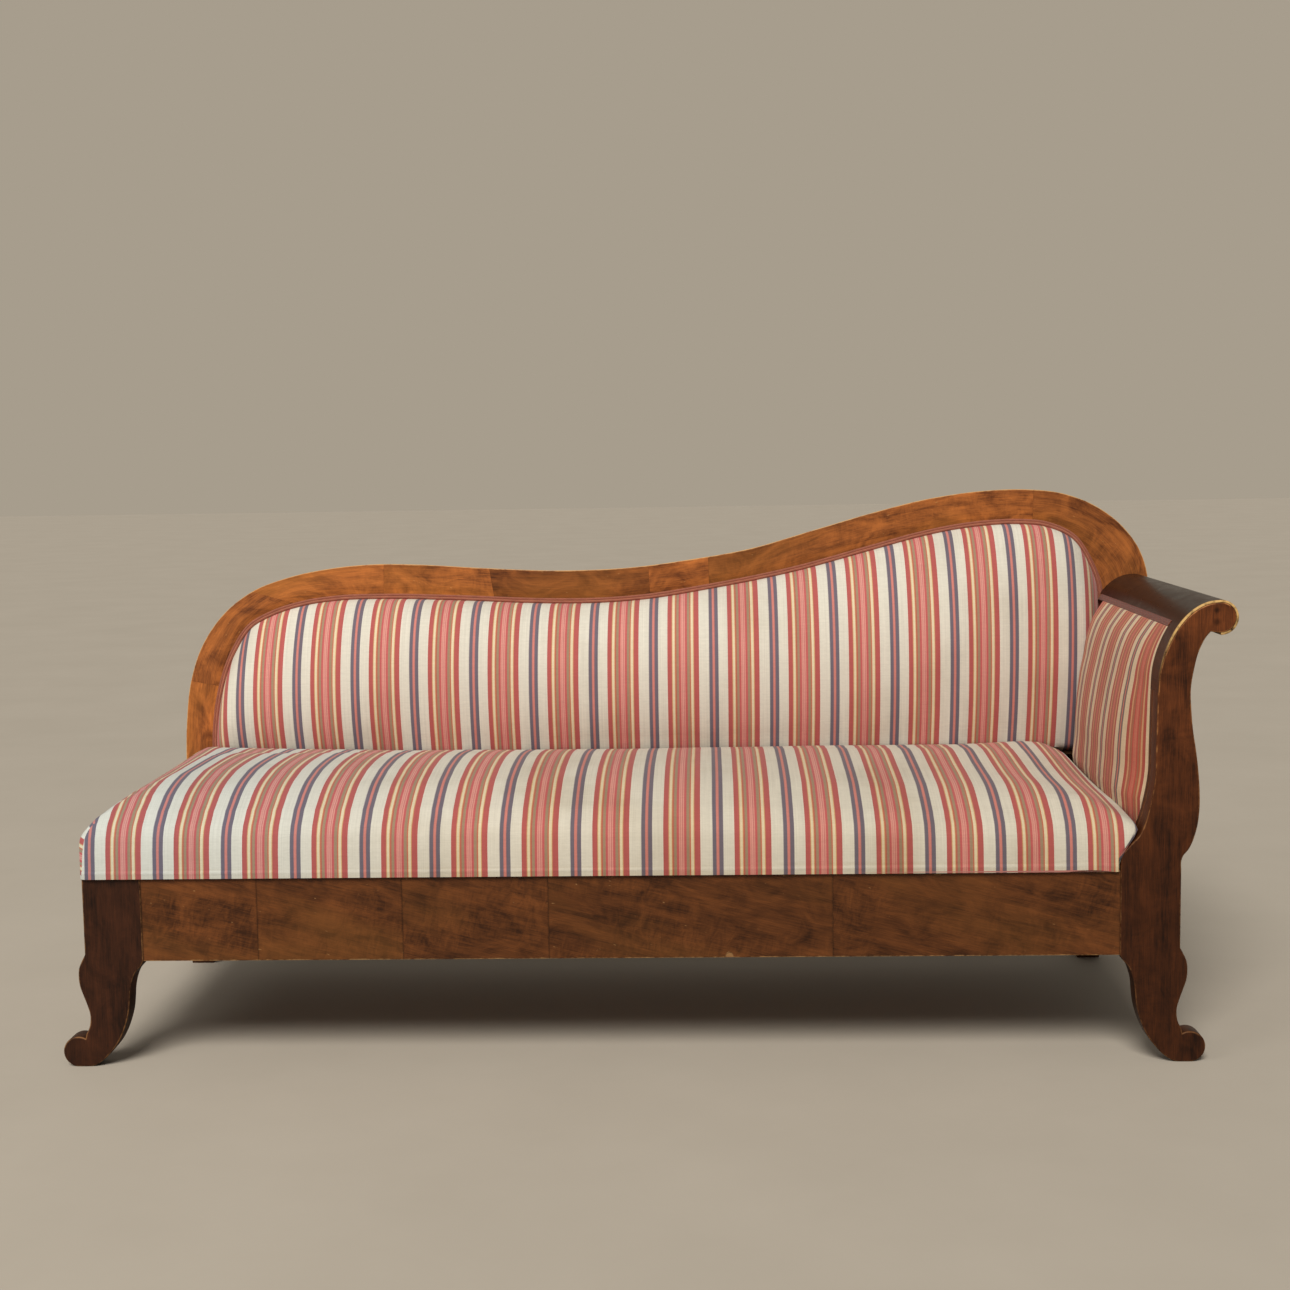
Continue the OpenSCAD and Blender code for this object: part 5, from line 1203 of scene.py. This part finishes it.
# Seat: drops from the crown in metres by the distance from each side, and the crown by x
seat = {"left": -0.9785, "right": 0.860, "front": -0.364, "rear": 0.176, "base": 0.3374,
        "corner": 0.014, "tip": 0.004, "crown": 0.488, "crownFall": 0.018, "sharp": 8.0,
        "around": 0.0075, "uneven": 0.0018, "seed": 7, "postGap": 0.003, "taper": 0.018,
        "follow": 0.0012, "meet": 0.474, "reach": (-0.004, 0.075), "shoulder": 0.024,
        "wallTop": 0.440, "rightTop": 0.402, "voxel": 0.011, "puff": 0.0045,
        "crownRun": (0, 0.585), "crownDeep": (0.35, 0.95), "unevenFrom": 0.400,
        "unevenRise": 0.05, "nearRight": 0.10, "cutBelow": 0.42, "wall": 0.004,
        "gather": (0.75, 0.5, 0.12, 0.018), "gatherSeed": 21, "hemFade": 0.02,
        "liftFade": 0.03, "liftHigh": 0.025, "overFront": -0.3, "topRun": 0.46,
        "shadeRun": (-0.98, 0.3), "footDarkening": 0.25, "footHigh": 0.012, "creaseShade": 0.3,
        "coolLightRun": (-0.2, -0.9),
        "held": {"below": 0.425, "rear": 0.10, "right": 0.79, "left": -0.95},
        "frontDrop": ((0, 0.0003, 0.001, 0.004, 0.009, 0.020, 0.044, 0.084, 0.150, 0.222, 0.307),
                      (0.1506, 0.148, 0.140, 0.103, 0.079, 0.057, 0.036, 0.020, 0.009, 0.002, 0)),
        "leftDrop": ((0, 0.0005, 0.001, 0.003, 0.006, 0.009, 0.015, 0.022, 0.043, 0.057, 0.078,
                      0.120, 0.180, 0.300),
                     (0.1506, 0.092, 0.082, 0.074, 0.069, 0.065, 0.057, 0.049, 0.033, 0.022,
                      0.012, 0.005, 0.001, 0)),
        "rearDrop": ((0, 0.0003, 0.001, 0.003, 0.018, 0.060, 0.133, 0.200, 0.300),
                     (0.1506, 0.080, 0.030, 0.018, 0.012, 0.007, 0.003, 0.001, 0)),
        "rightDrop": ((0, 0.0003, 0.0006, 0.001, 0.0016, 0.0022, 0.004, 0.010, 0.030, 0.063,
                       0.120, 0.201, 0.304),
                      (0.1326, 0.116, 0.100, 0.085, 0.071, 0.062, 0.057, 0.052, 0.042, 0.024,
                       0.013, 0.006, 0.0005)),
        "rightFill": ((0, 0.36, 0.68, 1.0), (0, 0.24, 0.25, 0.34)),
        "shift": ((-0.68, -0.47, -0.27, -0.12, 0.0, 0.12, 0.25, 0.36, 0.62),
                  (0.0025, 0.0053, 0.0083, 0.0117, 0.0144, 0.0173, 0.0196, 0.0212, 0.0228)),
        "soil": 0.30, "hem": (0.0105, 0.0030, 0.0016), "crease": (0.016, 0.0016),
        "hemLift": (0.735, 0.815, 0.0034)}
seatW, seatD = seat["right"] - seat["left"], seat["rear"] - seat["front"]
insets = np.array([0, 0.0003, 0.00045, 0.0006, 0.0008, 0.001, 0.0012, 0.0014, 0.0016, 0.0022,
                   0.003, 0.004, 0.0055, 0.007, 0.009, 0.0115, 0.014, 0.018, 0.023, 0.029, 0.036,
                   0.044, 0.053, 0.063, 0.074, 0.086, 0.099, 0.113, 0.128, 0.144, 0.161, 0.179,
                   0.198, 0.218, 0.239, seatD / 2])
longCount, shortCount, cornerCount = int(seatW / seat["around"]), int(seatD / seat["around"]), 7


# One ring: the plan outline moved in by d, from the front left corner anticlockwise, as
# distances from the left and the front
def seatRing(d):
    r, tip = max(seat["corner"] - d, 0.0), max(seat["tip"] - d, 0.0)
    a, b, c, e = d + r, seatW - d - r, d + r, seatD - d - r
    b, e = max(b, a), max(e, c)
    bends = [arc([a, c], r, 180, 270, cornerCount),
             arc([b + r - tip, d + tip], tip, 270, 360, cornerCount),
             arc([b, e], r, 0, 90, cornerCount), arc([a, e], r, 90, 180, cornerCount)]
    rows = []
    for k, count in enumerate((longCount, shortCount, longCount, shortCount)):
        start, end = bends[k][-1], bends[(k + 1) % 4][0]
        share = np.linspace(0, 1, count + 2)[1:-1, None]
        rows += [bends[k], mix(start, end, share)]
    return np.vstack(rows)


# Near a rounded corner the distance d + e counts as d + e (e / r)^1.5
def cornerDistance(distance, d):
    r = np.maximum(seat["corner"] - d, 1e-6)
    over = np.maximum(distance - d, 0)
    return np.where((over < r) & (d < seat["corner"]), d + over * (over / r)**1.5, distance)


rings = np.stack([seatRing(d) for d in insets])
d = insets[:, None]
fromLeft, fromFront = rings[..., 0], rings[..., 1]
fromRight, fromRear = seatW - fromLeft, seatD - fromFront
drops = [table(seat[key], cornerDistance(distance, d)) / seat[key][1][0]
         for key, distance in (("frontDrop", fromFront), ("leftDrop", fromLeft),
                               ("rearDrop", fromRear), ("rightDrop", fromRight))]
fuller = 1 - table(seat["rightFill"], fromFront / seatD) * ease(0, 0.0022, fromRight)
drops[3] = drops[3] * fuller
drop = sum(share**seat["sharp"] for share in drops) ** (1 / seat["sharp"])
x, y = seat["left"] + fromLeft, seat["front"] + fromFront
crown = seat["crown"] - (seat["crownFall"] * ease(*seat["crownRun"], x)
                         * (1 - ease(*seat["crownDeep"], fromFront / seatD)))
z = np.maximum(seat["base"], seat["base"] + (crown - seat["base"]) * (1 - drop))
z[0] = seat["base"]
lift = np.clip((z - seat["unevenFrom"]) / seat["unevenRise"], 0, 1)
z = z + seat["uneven"] * unevenness(x, y, seat["seed"]) * lift
# Its rear edge follows the face of the back pad, where the two meet
meetB = seat["meet"] / leanCos
coarse = np.linspace(-0.88, 0.91, 60)
meetT = np.interp(x, coarse, np.interp(coarse, padLine[order, 0], padLine[order, 1]))
share = np.clip((meetT - meetB) / (meetT - padBottom), 0, 1)
meetY = onBack(0 * x, meetB, -padDepth(np.clip(x, padLeft, padRight), share, backPad))[..., 1]
reach = np.clip(meetY - seat["follow"] - seat["rear"], *seat["reach"])
y = y + reach * ease(seatD * 0.5, seatD, fromFront)
# Its right end narrows to the rear, and is cut back along the post's curve below its widest line
postX = np.interp(z, upLine[:, 1], upLine[:, 0]) + couch["rightX"] - seat["postGap"]
taper = seat["taper"] * ease(0, 1, fromFront / seatD)
near = np.clip(1 - fromRight / seat["nearRight"], 0, 1)
x = x - near * np.maximum(taper, np.maximum(0, seat["right"] - postX) * (z < seat["cutBelow"]))
# A sewn hem near the bottom edge, gathered a little, and lifted off the rail near the right end
hemAt, hemWide, hemProud = seat["hem"]
wall = np.clip(1 - d / seat["wall"], 0, 1)
gatherMean, gatherBy, longest, shortest = seat["gather"]
gather = gatherMean + gatherBy * unevenness(x, y, seat["gatherSeed"], longest=longest,
                                            shortest=shortest)
ridge = hemProud * np.exp(-((z - seat["base"] - hemAt) / hemWide)**2) * gather * wall
y = y - ridge * ease(seat["hemFade"], 0, fromFront)
x = x - ridge * ease(seat["hemFade"], 0, fromLeft)
liftFrom, liftTo, liftBy = seat["hemLift"]
gap = liftBy * np.sin(np.pi * np.clip((x - liftFrom) / (liftTo - liftFrom), 0, 1))
above = z - seat["base"]
z = z + gap * ease(seat["liftFade"], 0, fromFront) * np.clip(1 - above / seat["liftHigh"], 0, 1)
# On the top and the long sides the cloth's place is x; at the ends it runs on down the wall
laid = x - table(seat["shift"], x)
run = y + np.where(y < seat["overFront"], z, seat["topRun"])
leftEdge, wallTop = seat["left"] + seat["shoulder"], seat["wallTop"]
fall = np.hypot(x - leftEdge, wallTop - z)
flats = [joined(u, v) for u, v in (
    (laid, run), (np.where((z < wallTop) & (x < leftEdge), leftEdge - fall, laid), y),
    (laid + np.maximum(0, seat["rightTop"] - z), y))]
corners = [atCorners(flat, closeAcross=True) for flat in flats]
side = [atCorners(value[..., None], closeAcross=True).mean(axis=(2, 3))[..., None, None]
        for value in (fromLeft, fromRight, fromFront, fromRear)]
isLeft, isRight = (side[k] < np.minimum(side[2], side[3]) for k in (0, 1))
cloth = np.where(isLeft, corners[1], np.where(isRight, corners[2], corners[0]))
piece = Piece("seatCushion")
creaseAt, creaseWide = seat["crease"]
above = z - seat["base"]
crease = np.exp(-((above - creaseAt) / creaseWide)**2) * gather * wall
# Painted shade on the seat's cover: darker and warmer towards the right, away from the light at the
# left, and in the crease above the hem; also darker along the bottom 12 mm of its wall
soil = (seat["soil"] * ease(*seat["shadeRun"], x)
        + seat["footDarkening"] * ease(seat["footHigh"], 0.0, above) + seat["creaseShade"] * crease)
# The left end also gets a painted bluish cool light
index = piece.grid(joined(x, y, z), closeAcross=True, cloth=cloth, soil=soil,
                   rinsed=ease(*seat["coolLightRun"], x))
piece.lid(index[0][::-1])


# Held: its underside, its walls up to near the crown, and where the back and the arm meet it
def seatHeld(x, y, z):
    held = seat["held"]
    return (z < held["below"]) | (y > held["rear"]) | (x > held["right"]) | (x < held["left"])


padOf(piece, "seat", ("seat_cover", "seat_stuffing"), seat["voxel"], seat["puff"], seatHeld,
      merge=1e-5)
print("seat cushion made")


# A sheet in one layer
def sheetOf(name, points, cloth, body, finish, slot, node):
    piece = Piece(name)
    piece.grid(points, cloth=cloth)
    return dressed(piece, body, finish, slot, node, outward=False)


# Rows between a low and a high line over the places x
def rowsBetween(x, low, high, count):
    b = mix(low, high, np.linspace(0, 1, count)[:, None])
    return np.broadcast_to(x, b.shape), b


# Rear lining and the cover of the arm's outer side
lining = {"in": 0.014, "lift": 0.0015, "columns": 190, "rows": 60, "above": 0.001,
          "behind": 0.002, "uneven": 0.0006, "seed": 9}
edgeLine = beside(crestOuter, lining["in"])
peak = int(np.argmax(edgeLine[:, 0]))
over, under = edgeLine[:peak + 1], edgeLine[peak:][::-1]
x = np.linspace(edgeLine[0, 0], edgeLine[peak, 0], lining["columns"])
high = np.interp(x, np.maximum.accumulate(over[:, 0]), over[:, 1])
low = np.where(x > under[0, 0], np.interp(x, np.maximum.accumulate(under[:, 0]), under[:, 1]),
               backFootH)
low = np.maximum(low, (couch["railTop"] + lining["above"] + (rear + lining["behind"]) * leanSin)
                 / leanCos)
xx, b = rowsBetween(x, low, high, lining["rows"])
wave = lining["uneven"] * unevenness(xx, b, lining["seed"], longest=0.3)
backLining = sheetOf("backLining", onBack(xx, b, rear + lining["lift"] + wave)[:, ::-1],
                     joined(xx, b)[:, ::-1], "frame", "backLining", "back_lining",
                     "back_rear_lining")

outerArm = {"rows": 70, "columns": 80, "front": 0.0008, "rear": 0.002, "out": 0.0012,
            "bulge": 0.0012, "uneven": 0.0008, "seed": 12, "share": 0.6}
outer = evenly(armOuter[2 * steps:-steps // 2], outerArm["rows"])
outerX, outerZ = outer[:, :1], outer[:, 1:]
rearEnd = backFaceY(outer[:, 1]) - outerArm["rear"]
y = mix(formerBack + outerArm["front"], rearEnd[:, None],
        np.linspace(0, 1, outerArm["columns"])[None, :])
bulge = outerArm["bulge"] + outerArm["uneven"] * unevenness(y, outerZ, outerArm["seed"],
                                                            longest=0.3)
x = couch["rightX"] + outerX - outerArm["out"] + bulge * outerArm["share"]
outerRun = lengthsAlong(outer)
cloth = joined(y - faceY - armPad["stripeAt"], -outerRun[:, None])
outerCloth = sheetOf("outerArmCloth", acrossFront(x, outerZ, y)[:, ::-1], cloth[:, ::-1], "frame",
                     "stripedCover", "striped_cover", "outer_arm_cover")
print("sheets made")

# Webbing: flat straps with a thickness
webs = {"width": 0.050, "thick": 0.0016, "steps": 0.02,
        "frame": (-0.9645, 0.815, -0.356, 0.168), "railW": 0.055, "lap": 0.014, "base": 0.3373,
        "across": 15, "cleats": (1, 7, 13), "along": 3, "up": 13, "arm": 4, "armIn": 0.0142,
        "under": 0.0002, "apart": 0.0001, "backIn": 0.014, "backDepth": 0.0002, "armEnd": 0.001}


# A strap from start to end as a six-sided section carried along it; up is its normal and wide
# its sideways direction
def strap(piece, start, end, wide, up):
    start, end, wide, up = (np.asarray(v, float) for v in (start, end, wide, up))
    count = max(3, int(np.linalg.norm(end - start) / webs["steps"]))
    t = np.linspace(0, 1, count)[:, None]
    w, h = webs["width"] / 2, webs["thick"] / 2
    section = np.array([[-w, 0], [-w * 0.98, h], [w * 0.98, h], [w, 0], [w * 0.98, -h],
                        [-w * 0.98, -h]])
    points = mix(start, end, t)[:, None] + section[None, :, :1] * wide + section[None, :, 1:] * up
    walk = t * np.linalg.norm(end - start)
    piece.tube(points, cloth=joined(section[None, :, 0] + 0.5, walk))


x0, x1, y0, y1 = webs["frame"]
inner, side = webs["railW"] - webs["lap"], webs["railW"] + webs["width"]
low = webs["base"] - webs["thick"] / 2 - webs["under"]
lower = low - webs["thick"] - webs["apart"]
piece = Piece("seatWebbing")
for k in range(webs["across"]):
    if k not in webs["cleats"]:
        at = mix(x0 + side, x1 - side, k / (webs["across"] - 1))
        strap(piece, (at, y0 + inner, low), (at, y1 - inner, low), (1, 0, 0), (0, 0, 1))
for k in range(webs["along"]):
    at = mix(y0 + side, y1 - side, k / (webs["along"] - 1))
    strap(piece, (x0 + inner, at, lower), (x1 - inner, at, lower), (0, 1, 0), (0, 0, 1))
dressed(piece, "seat", "webbing", "webbing", "seat_webbing")
half = webs["width"] / 2
webStart, webEnd = (corner[0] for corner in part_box("back_webbing"))
piece = Piece("backWebbing")
for k in range(webs["up"]):
    at = mix(webStart + half, webEnd - half, k / (webs["up"] - 1))
    topB = min(np.interp(at + o, padLine[order, 0], padLine[order, 1]) for o in (-half, half))
    foot, head = (onBack(at, b, webs["backDepth"])
                  for b in (padBottom + webs["backIn"], topB - webs["backIn"]))
    strap(piece, foot, head, (1, 0, 0), (0, -leanCos, leanSin))
dressed(piece, "frame", "webbing", "webbing", "back_webbing")
armLow, armHigh = (corner[1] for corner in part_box("arm_webbing"))
outwards = beside(upLine, 1.0) - upLine
piece = Piece("armWebbing")
for k in range(webs["arm"]):
    at = np.interp((k + 0.5) / webs["arm"] * upLength[-1], upLength, np.arange(len(upLine)))
    spot, out = (np.array([np.interp(at, np.arange(len(upLine)), line[:, c]) for c in (0, 1)])
                 for line in (upLine, outwards))
    spot = spot + out * webs["armIn"]
    start, end = ((spot[0] + couch["rightX"], y, spot[1])
                  for y in (armLow + webs["armEnd"], armHigh - webs["armEnd"]))
    strap(piece, start, end, (-out[1], 0, out[0]), (out[0], 0, out[1]))
dressed(piece, "frame", "webbing", "webbing", "arm_webbing")
print("webbing made")

# Hessian: over the springs of the seat as a low dome, and behind the pad of the back
dome = {"rows": 56, "columns": 150, "edge": 0.06, "lumps": 0.0016, "seed": 31, "above": 0.001}
boxLow, boxHigh = (np.asarray(corner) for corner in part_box("seat_hessian"))
u, v = np.meshgrid(np.linspace(-1, 1, dome["columns"]), np.linspace(-1, 1, dome["rows"]))
centre, half = (boxLow + boxHigh) / 2, (boxHigh - boxLow) / 2
toEdge = np.minimum((1 - np.abs(u)) * half[0], (1 - np.abs(v)) * half[1])
toEdge = np.clip(toEdge / dome["edge"], 0, 1)
rise = boxHigh[2] - boxLow[2] - 2 * dome["above"]
domeZ = boxLow[2] + dome["above"] + rise * quarterRound(toEdge)
domeZ = domeZ + (dome["lumps"] * toEdge
                 * unevenness(u * half[0], v * half[1], dome["seed"], longest=0.2))
points = joined(centre[0] + u * half[0], centre[1] + v * half[1], domeZ)
seatCloth = sheetOf("seatHessian", points, points[..., :2], "seat", "hessian", "hessian",
                    "seat_hessian")
backHessian = {"in": 0.016, "depth": -0.0017, "columns": 150, "rows": 50, "least": 0.002}
x = np.linspace(padLeft + backHessian["in"], padRight - backHessian["in"], backHessian["columns"])
high = np.interp(x, np.maximum.accumulate(padLine[:, 0]), padLine[:, 1]) - backHessian["in"]
low = padBottom + backHessian["in"]
high = np.maximum(high, low + backHessian["least"])
xx, b = rowsBetween(x, low, high, backHessian["rows"])
backCloth = sheetOf("backHessian", onBack(xx, b, backHessian["depth"])[:, ::-1],
                    joined(xx, b)[:, ::-1], "frame", "hessian", "hessian",
                    "back_hessian")
print("hessian made")

# The nodes that keep their CAD shape, by finish
kept = {"rearLegWood": ["rear_left_leg", "rear_right_leg"],
        "endRailWood": ["left_end_rail", "right_end_rail"],
        "pineWood": ["front_rail", "rear_rail", "corner_blocks", "seat_bearer",
                     "seat_front_rail", "seat_rear_rail"],
        "dullPine": ["back_bottom_rail", "arm_bottom_rail"],
        "pineAcross": ["cross_stretchers", "arm_top_rail", "seat_left_rail",
                       "seat_right_rail", "seat_cross_rails", "seat_cleats"],
        "pineUpright": ["arm_front_batten", "arm_rear_board"],
        "birchDowel": ["rail_dowels", "back_dowels", "seat_dowels"],
        "screwBrass": ["corner_block_screws"], "springSteel": ["seat_springs"],
        "tackIron": ["seat_tacks"]}
for finish, names in kept.items():
    for name in names:
        nodes[name].data.materials.clear()
        nodes[name].data.materials.append(finishes[finish])
print("frame nodes dressed")

# Floor, soft lights and plain surroundings
studio = {"floorLow": (178, 170, 157), "floorHigh": (183, 175, 162), "seen": (167, 157, 141),
          "world": (222, 218, 210), "ambient": 0.27, "sun": 2.9, "sunWide": 26.0, "soft": 24.0,
          "lamp": (255, 250, 243)}


# A lamp at a place, turned to its target
def placeLight(name, kind, place, target, power, colour, **settings):
    data = bpy.data.lights.new(name, kind)
    data.energy, data.color = power, colour[:3]
    for key, value in settings.items():
        setattr(data, key, value)
    lamp = bpy.data.objects.new(name, data)
    aim = (np.asarray(target) - place) / np.linalg.norm(np.asarray(target) - place)
    sideways = np.cross(aim, [0, 0, 1.0])
    sideways = sideways / np.linalg.norm(sideways)
    turn = Matrix(np.column_stack([sideways, np.cross(sideways, aim), -aim]).tolist()).to_4x4()
    lamp.matrix_world = Matrix.Translation(place) @ turn
    scene.collection.objects.link(lamp)


placeLight("keyLight", "SUN", (-0.7, -3.3, 3.9), (0.0, 0.0, 0.3), studio["sun"],
           tone(*studio["lamp"]), angle=math.radians(studio["sunWide"]))
placeLight("softBox", "AREA", (-2.6, -2.6, 2.4), (0.0, 0.0, 0.5), studio["soft"],
           tone(*studio["lamp"]), shape="DISK", size=1.8)
world = bpy.data.worlds.new("studioWorld")
world.use_nodes = True
scene.world = world
sky = world.node_tree
sky.nodes["Background"].inputs["Color"].default_value = tone(*studio["world"])
sky.nodes["Background"].inputs["Strength"].default_value = studio["ambient"]
seen = put(sky, "Background", {"Color": tone(*studio["seen"]), "Strength": 1.0})
path = put(sky, "LightPath")
shown = path.outputs["Is Camera Ray"]
for ray in ("Is Glossy Ray", "Is Transmission Ray"):
    shown = calc(sky, "MAXIMUM", shown, path.outputs[ray])
choose = put(sky, "MixShader", {0: shown, 1: sky.nodes["Background"].outputs[0],
                                2: seen.outputs[0]})
sky.links.new(choose.outputs[0], sky.nodes["World Output"].inputs[0])

floorMesh = bpy.data.meshes.new("studioFloor")
floorMesh.from_pydata([(-30, -30, 0), (30, -30, 0), (30, 30, 0), (-30, 30, 0)], [], [(0, 1, 2, 3)])
floor = bpy.data.objects.new("studioFloor", floorMesh)
scene.collection.objects.link(floor)
floorMaterial, tree, shader = newMaterial("floorPaint")
mottle = noise(tree, objectPlace(tree), 2.2, 5, 0.6)
finishSurface(tree, shader, blendTones(tree, span(tree, mottle, 0.3, 0.7),
                                       tone(*studio["floorLow"]), tone(*studio["floorHigh"])),
              0.7, mottle, 0.05, 0.001, Specular_IOR_Level=0.2)
floorMesh.materials.append(floorMaterial)
scene.view_settings.view_transform = "Standard"
print("studio made")
